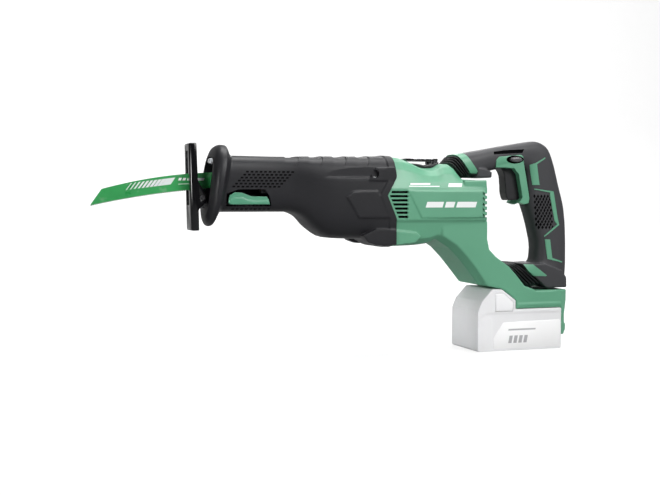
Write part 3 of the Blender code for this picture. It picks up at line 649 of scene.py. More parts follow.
GROUPS = {
    "Moulded grain": grain_group,
    "Edge wear": wear_and_highlight_group,
    "Settled dust": dust_group,
    "Printed bar": bar_group,
    "Brushed lines": brushed_group,
    "Widening stripes": stripe_group,
}


def use(tree, name, **values):
    """Places one of the shared groups in a material; input names are written with underscores."""
    made = bpy.data.node_groups.get(name) or GROUPS[name]()
    node = add(tree, "ShaderNodeGroup", node_tree=made)
    for key, value in values.items():
        node.inputs[key.replace("_", " ")].default_value = value
    return node.outputs


# ---------------- materials


def start_material(name, roughness, metallic=0.0, coat=0.0, specular=0.5):
    made = bpy.data.materials.new(name)
    made.use_nodes = True
    shader = made.node_tree.nodes["Principled BSDF"]
    shader.inputs["Roughness"].default_value = roughness
    shader.inputs["Metallic"].default_value = metallic
    shader.inputs["Coat Weight"].default_value = coat
    shader.inputs["Coat Roughness"].default_value = 0.12
    shader.inputs["Specular IOR Level"].default_value = specular
    return made, made.node_tree, shader


def tinted(tree, base, other, factor):
    """A colour mixed towards another by a factor."""
    node = add(tree, "ShaderNodeMix", data_type="RGBA")
    for socket, value in ((node.inputs[6], base), (node.inputs[7], other), (node.inputs[0], factor)):
        if isinstance(value, bpy.types.NodeSocket):
            tree.links.new(value, socket)
        else:
            socket.default_value = (*value, 1.0) if isinstance(value, (tuple, list)) else value
    return node.outputs[2]


def scaled(rgb, by):
    return tuple(min(1.0, c * by) for c in rgb)


def bumped(tree, shader, height, strength, distance):
    """Feeds a height in millimetres of depth to the shader's normal."""
    bump = add(tree, "ShaderNodeBump", {"Height": height, "Strength": strength, "Distance": distance * MM})
    tree.links.new(bump.outputs[0], shader.inputs["Normal"])


def vary(tree, shader, tone, roughness, spread):
    """Roughness that changes a little over the surface."""
    varied = ramp(tree, tone, 0.3, 0.7, roughness - spread, roughness + spread)
    tree.links.new(varied, shader.inputs["Roughness"])


def plastic(
    name, rgb, roughness, grain=0.5, depth=0.05, wear_and_highlight=0.0, dust=0.1, bars=(), patch=45.0, specular=0.5
):
    """Moulded plastic or rubber: grain, uneven tone, rubbed edges, a little dust and printed bars."""
    made, tree, shader = start_material(name, roughness, specular=specular)
    rgb = tuple(rgb)
    surface = use(tree, "Moulded grain", Grain_Size=grain, Patch_Size=patch)
    colour_now = tinted(tree, scaled(rgb, 0.93), scaled(rgb, 1.07), surface["Tone"])
    lighter_edges = calc(tree, "MULTIPLY", use(tree, "Edge wear")[0], wear_and_highlight)
    worn = tuple(c * 0.7 + 0.14 for c in rgb)
    colour_now = tinted(tree, colour_now, worn, lighter_edges)
    colour_now = tinted(tree, colour_now, (0.34, 0.32, 0.29), use(tree, "Settled dust", Amount=dust)[0])
    for paint, values in bars:
        colour_now = tinted(tree, colour_now, tuple(paint), use(tree, "Printed bar", **values)[0])
    tree.links.new(colour_now, shader.inputs["Base Color"])
    vary(tree, shader, surface["Tone"], roughness, 0.05)
    bumped(tree, shader, surface["Height"], 0.35, depth)
    return made


def metal(name, rgb, roughness=0.3, squeeze=(0.15, 6, 6), depth=0.02, metallic=1.0, wear_and_highlight=0.4):
    """Ground or coated metal: lines or grain, uneven tone and brighter edges, rubbed wear that on the black
    shoe and the hook also stands as a painted highlight.
    """
    made, tree, shader = start_material(name, roughness, metallic)
    rgb = tuple(rgb)
    lines = use(tree, "Brushed lines", Squeeze=squeeze)
    colour_now = tinted(tree, scaled(rgb, 0.85), scaled(rgb, 1.12), lines["Tone"])
    # Lighter edges: rubbed wear, and a painted highlight on the black shoe and the hook
    lighter_edges = calc(tree, "MULTIPLY", use(tree, "Edge wear", Breakup_Size=2.0)[0], wear_and_highlight)
    colour_now = tinted(tree, colour_now, tuple(c * 0.5 + 0.35 for c in rgb), lighter_edges)
    tree.links.new(colour_now, shader.inputs["Base Color"])
    vary(tree, shader, lines["Tone"], roughness, min(0.06, roughness * 0.4))
    bumped(tree, shader, lines["Height"], 0.3, depth)
    return made


def bar(x, z, half_length, half_height, slant, least_y=0.0):
    """The inputs of one printed bar."""
    values = {"Middle_X": x, "Middle_Z": z, "Half_Length": half_length, "Half_Height": half_height}
    return {**values, "Slant": slant, "Least_Y": least_y}


def blade_finish():
    """Green baked paint with widening pale stripes, plain bars and faint scuffs."""
    made, tree, shader = start_material("Blade_Paint", 0.32)
    c = colours()
    surface = use(tree, "Moulded grain", Grain_Size=0.35, Patch_Size=14.0)
    colour_now = tinted(tree, scaled(c.blade, 0.82), scaled(c.blade, 1.18), surface["Tone"])
    stripes = use(tree, "Widening stripes")[0]
    reach = use(tree, "Printed bar", Rise=0.13, **bar(-234.0, 205.0, 27.0, 3.6, 0.75))[0]
    colour_now = tinted(tree, colour_now, (0.70, 0.73, 0.73), calc(tree, "MULTIPLY", stripes, reach))
    for x, half in ((-199, 1.6), (-194, 1.6), (-189, 1.6), (-176, 5)):
        mark = use(tree, "Printed bar", **bar(x, 210.6, half, 1.5, 0.35))[0]
        colour_now = tinted(tree, colour_now, tuple(c.mark), mark)
    small = use(tree, "Printed bar", Rise=0.05, **bar(-194.0, 205.2, 7.0, 0.45, 0.0))[0]
    colour_now = tinted(tree, colour_now, (0.55, 0.72, 0.60), small)
    scuff = ramp(tree, surface["Tone"], 0.62, 0.68)
    colour_now = tinted(tree, colour_now, (0.25, 0.36, 0.27), calc(tree, "MULTIPLY", scuff, 0.3))
    tree.links.new(colour_now, shader.inputs["Base Color"])
    vary(tree, shader, surface["Tone"], 0.32, 0.07)
    bumped(tree, shader, surface["Height"], 0.4, 0.02)
    return made


def lens_finish():
    made, tree, shader = start_material("Lamp_Lens", 0.08, coat=0.6)
    surface = use(tree, "Moulded grain", Grain_Size=1.2, Patch_Size=5.0)
    colour_now = tinted(tree, (0.70, 0.76, 0.82), (0.92, 0.94, 0.96), surface["Tone"])
    tree.links.new(colour_now, shader.inputs["Base Color"])
    bumped(tree, shader, surface["Height"], 0.5, 0.2)
    return made


def winding_finish():
    """Copper wire lying across the slots, between dark laminations."""
    made, tree, shader = start_material("Windings", 0.35, 0.9)
    lines = use(tree, "Brushed lines", Squeeze=(3, 0.4, 0.4))
    wire = ramp(tree, lines["Height"], 0.4, 0.6)
    tree.links.new(tinted(tree, (0.16, 0.06, 0.03), (0.62, 0.28, 0.13), wire), shader.inputs["Base Color"])
    vary(tree, shader, lines["Tone"], 0.35, 0.1)
    bumped(tree, shader, lines["Height"], 0.6, 0.15)
    return made


def shell_bars():
    """The plain bars printed on the shell."""
    bars = [bar(x, 181.2, half, 3.4, 0.32, 36.0) for x, half in ((101, 11), (121, 6), (143, 13))]
    upper = ((88, 20, 0.5, 203.2), (83, 13, 1, 205.9), (129, 9, 2.2, 204.8))
    bars += [bar(x, z, half, height, 0.35, 30.0) for x, half, height, z in upper]
    return [(colours().mark, values) for values in bars]


def gauge_bars():
    """The plain line and the row of bars on the battery's side."""
    bars = [bar(x, 14.0, 2.3, 4.6, 0.2, 36.0) for x in (206, 213, 220, 227)]
    return [((0.42, 0.42, 0.43), values) for values in bars + [bar(222, 26, 19, 1, 0.3)]]


def finish(name):
    """The saw's materials by name, each made when it is first asked for."""
    found = bpy.data.materials.get(name)
    if found:
        return found
    c = colours()
    pale, white = tuple(c.battery), tuple(c.label)
    makers = {
        "Shell_Green": lambda: plastic(name, c.shell, 0.42, bars=shell_bars(), wear_and_highlight=0.3),
        "Lever_Green": lambda: plastic(name, c.lever, 0.38, wear_and_highlight=0.35, patch=12.0),
        "Inlay_Green": lambda: plastic(name, scaled(c.shell, 0.95), 0.4, wear_and_highlight=0.2),
        "Cover_Rubber": lambda: plastic(name, c.cover, 0.46, 0.45, 0.07, 0.12, 0.02, specular=0.28),
        # Near-black for the walls of pits, slots and recesses and for the sheets behind the vents: painted
        # shade
        "Pit_Black": lambda: plastic(name, (0.002, 0.002, 0.0025), 0.8, dust=0.0, specular=0.05),
        "Grip_Rubber": lambda: plastic(name, c.grip, 0.5, 0.9, 0.3, 0.1, 0.03, specular=0.35),
        "Bellows_Rubber": lambda: plastic(name, c.bellows, 0.34, 0.6, 0.04, 0.1, 0.0, specular=0.4),
        "Black_Nylon": lambda: plastic(name, c.nylon, 0.38, grain=0.4, wear_and_highlight=0.15, dust=0.02, specular=0.35),
        "Battery_Case": lambda: plastic(name, pale, 0.5, dust=0.0),
        "Battery_Label": lambda: plastic(name, white, 0.4, dust=0.0, bars=gauge_bars()),
        "Battery_Button": lambda: plastic(name, scaled(pale, 1.1), 0.42, dust=0.0),
        "Button_Grey": lambda: plastic(name, (0.08, 0.08, 0.085), 0.35, wear_and_highlight=0.2, patch=8.0),
        # The shoe's lighter edges (its last number) are partly rubbed wear, partly a painted highlight
        # along its corners
        "Black_Oxide": lambda: metal(name, (0.004, 0.004, 0.005), 0.08, (0.4, 0.4, 0.4), 0.005, 0, 0.25),
        # The hook's strongly lightened edges are partly rubbed wear, partly a painted highlight
        "Hook_Steel": lambda: metal(name, (0.05, 0.05, 0.055), 0.12, wear_and_highlight=0.8),
        "Bright_Steel": lambda: metal(name, (0.58, 0.58, 0.60), 0.22),
        "Dark_Steel": lambda: metal(name, (0.09, 0.09, 0.095), 0.35, (1, 1, 1), 0.02),
        "Screw_Steel": lambda: metal(name, (0.05, 0.05, 0.055), 0.3, (1.5, 1.5, 1.5), 0.02),
        "Cast_Alloy": lambda: metal(name, (0.48, 0.49, 0.50), 0.5, (1.2, 1.2, 1.2), 0.12, 1.0, 0.2),
        "Bronze": lambda: metal(name, (0.50, 0.34, 0.17), 0.35, (2, 2, 2), 0.04),
        "Gear_Steel": lambda: metal(name, (0.42, 0.42, 0.44), 0.28, (0.3, 5, 5)),
        "Board_Green": lambda: plastic(name, (0.015, 0.11, 0.045), 0.3, grain=1.5, patch=6.0),
        "Ground_Teeth": lambda: metal(name, (0.06, 0.09, 0.07), 0.35, (3, 3, 3), 0.02),
        "Blade_Paint": blade_finish,
        "Lamp_Lens": lens_finish,
        "Windings": winding_finish,
    }
    return makers[name]()


# ---------------- shapes shared by neighbours, in millimetres

COVER_ROWS = [
    (-168, 168, 240, 29, 0.12, 2.5),
    (-165.5, 160, 247, 34.5, 0.12, 2.5),
    (-160.5, 156.5, 250.5, 37.5, 0.15, 2.5),
    (-156.5, 157, 250, 37.3, 0.18, 2.5),
    (-154, 162.5, 246, 34.5, 0.19, 2.8),
    (-151.5, 170, 240.5, 31, 0.20, 3.4),
    (-149, 173, 238, 29.6, 0.20, 4),
    (-138, 173, 238, 29.6, 0, 4),
    (-96, 173, 237.5, 30, 0, 4),
    (-76, 173, 237.5, 31.4, 0, 4),
    (-61, 168, 238, 33.8, 0, 4),
    (-46, 153.5, 238.3, 36.6, 0, 4),
    (-26, 142, 238.6, 39.4, 0, 4),
    (0, 140.5, 238.8, 40.8, 0, 4),
    (15, 140, 239, 41, 0, 4),
    (33, 131.5, 239.5, 41, 0, 4),
    (52, 131, 239, 40.5, 0, 4),
]
SEAM = [(50, 252), (51, 228), (52, 214), (40, 192), (52, 164), (51.5, 120)]
BARREL_ROWS = [
    (36, 131, 239, 40.5),
    (60, 131.5, 238, 40.2),
    (76, 132, 233, 40),
    (97, 134, 225.5, 39.6),
    (108, 138, 226, 39.4),
    (118, 138.5, 231, 39.2),
    (128, 139, 231, 39),
    (146, 140, 212.5, 39),
    (171, 142, 211.5, 38.5),
    (173, 142.5, 211, 36),
    (179.8, 148, 208.5, 17),
]
GRIP_STATIONS = [
    (160.8, 215.4, 140.6, 242.6, 22),
    (168, 215.6, 151.4, 244.8, 21.2),
    (176, 216.6, 165, 247.2, 20),
    (184, 221, 182, 250, 19),
    (205, 226, 204, 254, 18),
    (226, 229, 232, 258.6, 18),
    (235, 226, 254, 261.5, 18),
    (239, 218, 271, 254.5, 18),
    (239.5, 205, 279, 240, 18),
    (240, 186, 289, 206, 18),
    (245, 170, 297, 176, 18),
    (251, 150, 299.5, 150, 18),
    (255.5, 126, 300, 124, 18.2),
    (254.5, 113, 300, 108, 18.6),
    (249, 104, 299.5, 95, 19.4),
    (244, 97, 298, 80, 20),
]


LOCK_BUTTON = (222.5, 237.4)
SHOE_PIN = (-176, 189)
SHOE_LEAN = -1.3  # degrees
SHOE_CORNER = 3.6
BLADE_ROOT, BLADE_TIP = -160.0, -300.0
COVER_WALL = 2.2
SHELL_WALL = 3.2
SEAM_GAP = 0.3


def seam_side(side, gap):
    """Everything on one side of the cover's joint line: -1 is the nose, 1 the motor."""
    edge = [(x + gap * side / 2, z) for x, z in SEAM]
    far = 400.0 * side
    return prism([(far, edge[0][1]), *edge, (far, edge[-1][1])], -WIDE, WIDE, "seam")


def cover_loft(grow=0.0):
    """The nose cover's outside, swollen by grow."""
    rings = [round_ring(*each[:5], grow=grow, power=each[5]) for each in flowing(COVER_ROWS, 4)]
    return skin(rings, "cover")


def grip_loft(grow=0.0):
    """The rear grip's outside, swollen by grow."""
    return skin([spine_ring(*each, grow=grow) for each in flowing(GRIP_STATIONS, 4)], "grip")


# ---------------- pieces


class SAW_OT_cover(Operator):
    """Soft black nose cover with its flange, dimples, lever window and seam rim"""

    bl_idname = "saw.cover"
    bl_label = "Nose cover"

    def execute(self, context):
        body = cover_loft()
        shelf = [(-70, 219), (-52, 212.6), (30, 213.4), (33, 250), (-70, 250)]
        body = cut(body, *plates(shelf, 37.6, WIDE))
        band = [(x - 9.0, z) for x, z in SEAM] + [(x + 2.0, z) for x, z in reversed(SEAM)]
        rim = cross(cover_loft(1.2), prism(band, -WIDE, WIDE, "band"))
        panel = [(-11, 190.8), (-3.3, 196.4), (27.5, 197), (30.5, 190.5), (41.5, 165.6), (4.3, 165.8)]
        parts = [rim] + plates(panel, 30.0, 41.9)
        upper = [(17, 209.5), (21, 216.5), (27, 224.5), (49, 225.5), (51, 215.5), (50, 209.5)]
        lower = [(9, 145), (26, 152.5), (51.5, 152), (51.5, 133.5), (26, 133.5), (16, 137)]
        parts += plates(upper, 25.0, 41.6) + plates(lower, 25.0, 41.6)
        body = moulded(body, *parts, rounds=0.5, keep=0.3)
        painted(body, "Cover_Rubber")
        hollow_rows = [(-182, 178, 236, 21), (-160, 177, 236.5, 22.5), (-146, 176, 236, 25)]
        thin = COVER_WALL
        hollow_rows += [(x, z0 + thin, z1 - thin, w - thin) for x, z0, z1, w, *_ in COVER_ROWS[7:-1]]
        hollow_rows.append((60, 133.2, 236.8, 38.3))
        hollow = skin([round_ring(*each, count=32) for each in hollow_rows], "hollow")
        beside = [(-75, 208), (33, 208), (33, 255), (-75, 255)]
        hollow = cut(hollow, *plates(beside, 34.0, WIDE))
        window = [(-151.5, 179.6), (-98, 179.6), (-101, 191), (-106, 199), (-137, 199), (-151.5, 194)]
        groove = [(-84.5, 226.5), (-69, 226.5), (-62, 240), (-78, 240)]
        grooves = cut(row(prism(groove, -WIDE, WIDE), 4, (28.6, 0, 0.15)), cover_loft(-1.0))
        eye = turned([(-WIDE, 4.6), (WIDE, 4.6)], 24.5, 217.6, 24)
        dimples = self.dimples(body)
        body = cut(body, hollow, seam_side(1, -SEAM_GAP), prism(window, -45, -18), grooves, *dimples)
        body = cut(body, cut(eye, box((0, -37.4, 200), (60, 37.4, 240))))
        place(body, "Nose_Cover", "housing", None, ["Front_Cover"])
        return {"FINISHED"}

    @staticmethod
    def dimples(body):
        """Cutters for the dimples on both sides of the nose, which paint the dimple walls near-black as
        shade.
        """
        deep = sizes().dimple_depth / MM
        pitch = sizes().dimple_pitch / MM
        lozenge = [(-1.3, 0.95), (1.9, 0.95), (1.3, -0.95), (-1.9, -0.95)]
        pit = prism(lozenge, -deep, deep, "pit")
        made = []
        for side in (-1, 1):
            made.append(field(body, pit, side, (11, 6), (-127, 219), pitch, (-3.2, -3.4)))
            made.append(field(body, pit, side, (9, 1), (-143, 176.4), pitch, (0, -4)))
        bpy.data.objects.remove(pit)
        return made


class SAW_OT_lever(Operator):
    """Green blade change lever with its thumb pad"""

    bl_idname = "saw.lever"
    bl_label = "Blade change lever"

    def execute(self, context):
        low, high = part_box("Blade_Change_Lever")
        y0, y1 = low.y / MM, high.y / MM
        outline = [(-149, 184), (-147, 181.6), (-100.2, 181.6), (-101.5, 187), (-104, 190.8)]
        outline += [(-122, 191), (-129, 193.6), (-134, 195.4), (-142, 195.4), (-147.5, 192)]
        ridge = [(-148, 183.6), (-146.5, 181.9), (-101, 181.9), (-103.5, 186.2), (-117, 185.2)]
        ridge += [(-126, 186.4), (-133, 189.4), (-141, 189), (-147, 187.2)]
        body, ridge = prism(outline, y0 + 0.9, y1), prism(ridge, y0, y1 - 1.0)
        body = moulded(body, ridge, mould=0.55, rounds=0.8, keep=0.6)
        place(body, "Lever", "lever", "Lever_Green", ["Blade_Change_Lever"])
        return {"FINISHED"}


class SAW_OT_shoe(Operator):
    """Gloss black shoe, its bar, and the work light"""

    bl_idname = "saw.shoe"
    bl_label = "Shoe and light"

    def execute(self, context):
        angles = [i * math.pi / 12 for i in range(7)]
        r = SHOE_CORNER
        corner = [(r - r * math.cos(a), r - r * math.sin(a)) for a in angles]
        plan = [(-189.9 + a, 15.1 - b) for a, b in corner] + [(-150, 15.1)]
        plan = [(x, -y) for x, y in plan] + plan[::-1]
        round_front = prism(plan, 120.0, 280.0, along="Z")
        pin = Vector((SHOE_PIN[0], 0.0, SHOE_PIN[1])) * MM
        turn = Matrix.Rotation(math.radians(SHOE_LEAN), 4, "Y")
        lean = Matrix.Translation(pin) @ turn @ Matrix.Translation(-pin)
        round_front.data.transform(lean)
        shoe = rounded(cross(copied("Shoe", "Shoe_Body"), round_front), 0.7)
        place(shoe, "Shoe_Body", "shoe", "Black_Oxide", ["Shoe"], 50)
        bar = rounded(copied("Shoe_Bar", "Shoe_Slide"), 0.5)
        place(bar, "Shoe_Slide", "shoe_bar", "Dark_Steel", ["Shoe_Bar"])
        lamp = rounded(copied("Work_Light", "Lamp"), 0.5)
        place(lamp, "Lamp", "housing", "Lamp_Lens", ["Work_Light"])
        return {"FINISHED"}


class SAW_OT_blade(Operator):
    """Painted blade with ground teeth set along its edge"""

    bl_idname = "saw.blade"
    bl_label = "Blade"

    def execute(self, context):
        low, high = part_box("Blade")
        half = (high.y - low.y) / 2 / MM
        root = BLADE_ROOT
        xs = np.arange(root - 12.0, BLADE_TIP + 13.0, -8.0)
        outline = [(-139, 203), (-139, 213), (-156, 213), (root, 218.6)]
        outline += [(x, self.back_edge(x)) for x in xs]
        outline += [(-287.0, self.back_edge(-287.0)), (-299.0, self.cutting_edge(-299.0) + 2.4)]
        outline += [(-299.4, self.cutting_edge(-299.4) + 1.4)]
        cutting = np.arange(-298.0, root - 6.0, 6.0)
        outline += [(x, self.cutting_edge(x) + 1.1) for x in cutting]
        outline += [(root - 6.0, 200.6), (root, 200.4), (-156, 203)]
        body = prism(outline, -half, half, "Blade_Body", 0.2)
        place(body, "Blade_Body", "plunger", "Blade_Paint", ["Blade"])
        path = bpy.data.meshes.new("edge")
        xs = np.arange(-298.5, root - 7.0, 3.0)
        points = [(x * MM, 0.0, (self.cutting_edge(x) + 1.2) * MM) for x in xs]
        path.from_pydata(points, [(i, i + 1) for i in range(len(points) - 1)], [])
        start = linked("Blade_Teeth", path)
        pitch, depth = sizes().tooth_pitch / MM, sizes().tooth_depth / MM
        tooth = [(-pitch * 0.45, 0.3), (-pitch * 0.2, -depth), (pitch * 0.5, 0.3)]
        tooth = prism(tooth, -half * 0.92, half * 0.92, "tooth")
        values = {"Pitch": sizes().tooth_pitch, "Shape": tooth, "Material": finish("Ground_Teeth")}
        teeth = grown("Shapes along a path", path_tree, "Blade_Teeth", values, start)
        bpy.data.objects.remove(tooth)
        place(teeth, "Blade_Teeth", "plunger", None)
        return {"FINISHED"}

    @staticmethod
    def back_edge(x):
        t = BLADE_ROOT - x
        return 218.6 - 0.0266 * t - 0.00099 * t * t

    @staticmethod
    def cutting_edge(x):
        t = BLADE_ROOT - x
        return 199.6 - 0.0579 * t - 0.0006 * t * t


class SAW_OT_housing(Operator):
    """Green housing halves with vents, name panel, leg, base and the hook's seat"""

    bl_idname = "saw.housing"
    bl_label = "Housing"

    def execute(self, context):
        outer = self.outer()
        inner_rows = [(30, 131, 239, 40.5)] + BARREL_ROWS[1:-2] + [(176, 147, 209, 19)]
        inner = skin([self.barrel_ring(*each, wall=SHELL_WALL) for each in flowing(inner_rows, 2)], "inner")
        cavity = prism(self.cavity_outline(), -29.5, 29.5, "cavity")
        seat = [(79.5, 260), (83, 230.6), (99, 226.4), (110, 226.4), (118.5, 230), (119.5, 260)]
        body = cut(outer, inner, cavity, seam_side(-1, -SEAM_GAP), prism(seat, -13.2, 13.2), *self.vents())
        for side, name, node in ((-1, "Shell_Left", "Housing_Left"), (1, "Shell_Right", "Housing_Right")):
            half = linked(name, body.data.copy())
            low, high = sorted((side * 0.1, side * 80.0))
            half = cross(half, box((-90.0, low, -20.0), (420.0, high, 320.0)))
            if side > 0:
                wells = [turned([(edge - 5.0, 4.4), (WIDE, 4.4)], x, z, 24) for x, z, edge in SCREW_PLACES]
                half = cut(half, *wells)
            place(half, name, "housing", "Shell_Green", [node])
        bpy.data.objects.remove(body)
        # Near-black sheets just inside the vent slots: painted shade, so the slots read dark
        shade_sheet = [(44, 199.5), (70, 199.5), (70, 163), (54, 163), (44, 188)]
        for side, name in ((-1, "Air_Guide_Left"), (1, "Air_Guide_Right")):
            plate = side_plate(side, shade_sheet, 34.2, 37.2, 0.3)
            place(plate, name, "housing", "Pit_Black")
        self.hook_seat()
        return {"FINISHED"}

    @staticmethod
    def barrel_ring(x, z0, z1, w, wall=0.0):
        """Section of the barrel: flat sides between two ridges, sloping to the top and the bottom."""
        top, low = min(200.5, z1 - 9.0), max(163.0, z0 + 9.0)
        half = [(0.0, z1), (w * 0.42, z1 - 0.3), (w * 0.66, z1 - (z1 - top) * 0.14)]
        half += [(w * 0.82, z1 - (z1 - top) * 0.4), (w - 2.2, top + 7.5), (w, top), (w, low)]
        half += [(w - 2.4, low - 3.0), (w * 0.86, z0 + (low - z0) * 0.26)]
        half += [(w * 0.72, z0 + 1.6), (w * 0.55, z0), (0.0, z0)]
        middle, shrink_y, shrink_z = (z0 + z1) / 2, 1 - wall / w, 1 - 2 * wall / (z1 - z0)
        return folded_ring(x, [(y * shrink_y, middle + (z - middle) * shrink_z) for y, z in half])

    def outer(self):
        """Both housing halves as one solid: barrel, leg, base, strip and raised panels."""
        barrel = skin([self.barrel_ring(*each) for each in flowing(BARREL_ROWS, 4)], "barrel")
        front = [(106, 160), (107, 140), (126, 128), (139, 115), (151, 101), (166, 82.5)]
        rear = [(194.5, 77), (214, 62.8), (240, 62.8), (240, 75), (226, 80), (215, 93), (204, 104.5)]
        rear += [(186, 117), (177, 126), (174, 139), (174, 160)]
        inset = [(x + 7.0, z + 4.0) for x, z in front[:-1]] + [(176, 80.6)]
        rings = [(-35.9, inset), (-28.0, front), (28.0, front), (35.9, inset)]
        leg = skin([[(x, y, z) for x, z in edge + rear] for y, edge in rings], "leg")
        base = [(214, 51.7), (278, 51.7), (278, 73.5), (214, 73.5)]
        strip = [(270, 56), (278.5, 51.7), (278.5, 17), (284, 17), (288.5, 23), (288.5, 29.5)]
        strip += [(285.6, 32), (285.4, 42), (287.6, 52), (289.4, 60), (289.6, 73.5), (270, 73.5)]
        plan = [(260, -36), (278.5, -36), (289.8, -28), (289.8, 28), (278.5, 36), (260, 36)]
        strip = cross(prism(strip, -40, 40), prism(plan, 0.0, 90.0, along="Z"))
        panel = [(66.5, 198.5), (77, 197.6), (168, 197.6), (170, 193), (169.5, 165.5), (84.5, 165.5)]
        boss = [(50, 151), (78.5, 148), (84, 143), (77, 135.5), (50, 133)]
        rear_boss = [(140, 210.5), (171.5, 211), (171.5, 203), (143, 202)]
        parts = [leg, prism(base, -36.0, 36.0, "base", 1.2), strip]
        parts += plates(panel, 30.0, 40.7) + plates(boss, 20.0, 38.2)
        parts += plates(rear_boss, 20.0, 38.4)
        ledge = [(216, 55), (277, 55), (277, 58), (216, 58)]
        parts += plates(ledge, 30.0, 36.7)
        return moulded(barrel, *parts, keep=0.25)

    @staticmethod
    def cavity_outline():
        """The hollow of the leg and the base, seen from the side."""
        points = [(112, 163), (113, 141), (129, 130), (142, 117), (154, 103), (169, 86)]
        points += [(196, 80.5), (217.5, 65), (217.5, 56), (283, 56), (285.5, 70)]
        points += [(234, 70), (212.5, 90), (201.5, 101.5), (184, 114), (174, 124), (170.5, 139)]
        return points + [(170.5, 163)]

    @staticmethod
    def vents():
        """Seven slots that fold back with the seam, and a notched column at the rear of each side."""
        made = []
        slot = [(34, 197.6), (66.8, 197.6), (66.8, 194.8), (34, 194.8)]
        notch = [(164.5, 197.6), (168, 194.6), (185, 194.6), (185, 192), (165.5, 192)]
        for side in (-1, 1):
            made.append(cross(row(side_plate(side, slot, 30.0, 50.0), 7, (0, 0, -4.9)), seam_side(1, 6)))
            made.append(row(side_plate(side, notch, 20.0, 50.0), 5, (0, 0, -6.6)))
        return made

    @staticmethod
    def hook_seat():
        """Black scooped seat under the folding hook."""
        seat = [(80, 231.5), (84, 229.5), (99, 225.6), (110, 225.6), (118, 229), (118.6, 233.4)]
        seat += [(110, 230.6), (100, 229.2), (90, 231)]
        body = moulded(prism(seat, -13.0, 13.0, "seat"), mould=0.7, keep=0.4)
        place(body, "Hook_Seat", "housing", "Black_Nylon")


SCREW_PLACES = [(272, 64, 31), (164, 104, 31), (88, 141, 31), (160, 203, 35.5)]


class SAW_OT_screws(Operator):
    """Socket screws that hold the housing halves together"""

    bl_idname = "saw.screws"
    bl_label = "Case screws"

    def execute(self, context):
        parts = []
        for x, z, edge in SCREW_PLACES:
            dome = [(edge - 5.0, 3.6), (edge - 1.6, 3.6), (edge - 1.2, 3.2), (edge - 1.2, 2.2)]
            head = turned(dome, x, z)
            socket = turned([(edge - 3.4, 1.8), (WIDE, 1.8)], x, z, 6)
            rest = turned([(-8, 2), (edge - 4.6, 2.0)], x, z, 16)
            parts.append(cut(cut(head, socket), rest, how="UNION"))
        nodes = ["Screw_Base_Rear", "Screw_Leg", "Screw_Motor_Low", "Screw_Motor_Rear"]
        place(merged(*parts), "Case_Screws", "housing", "Screw_Steel", nodes)
        return {"FINISHED"}


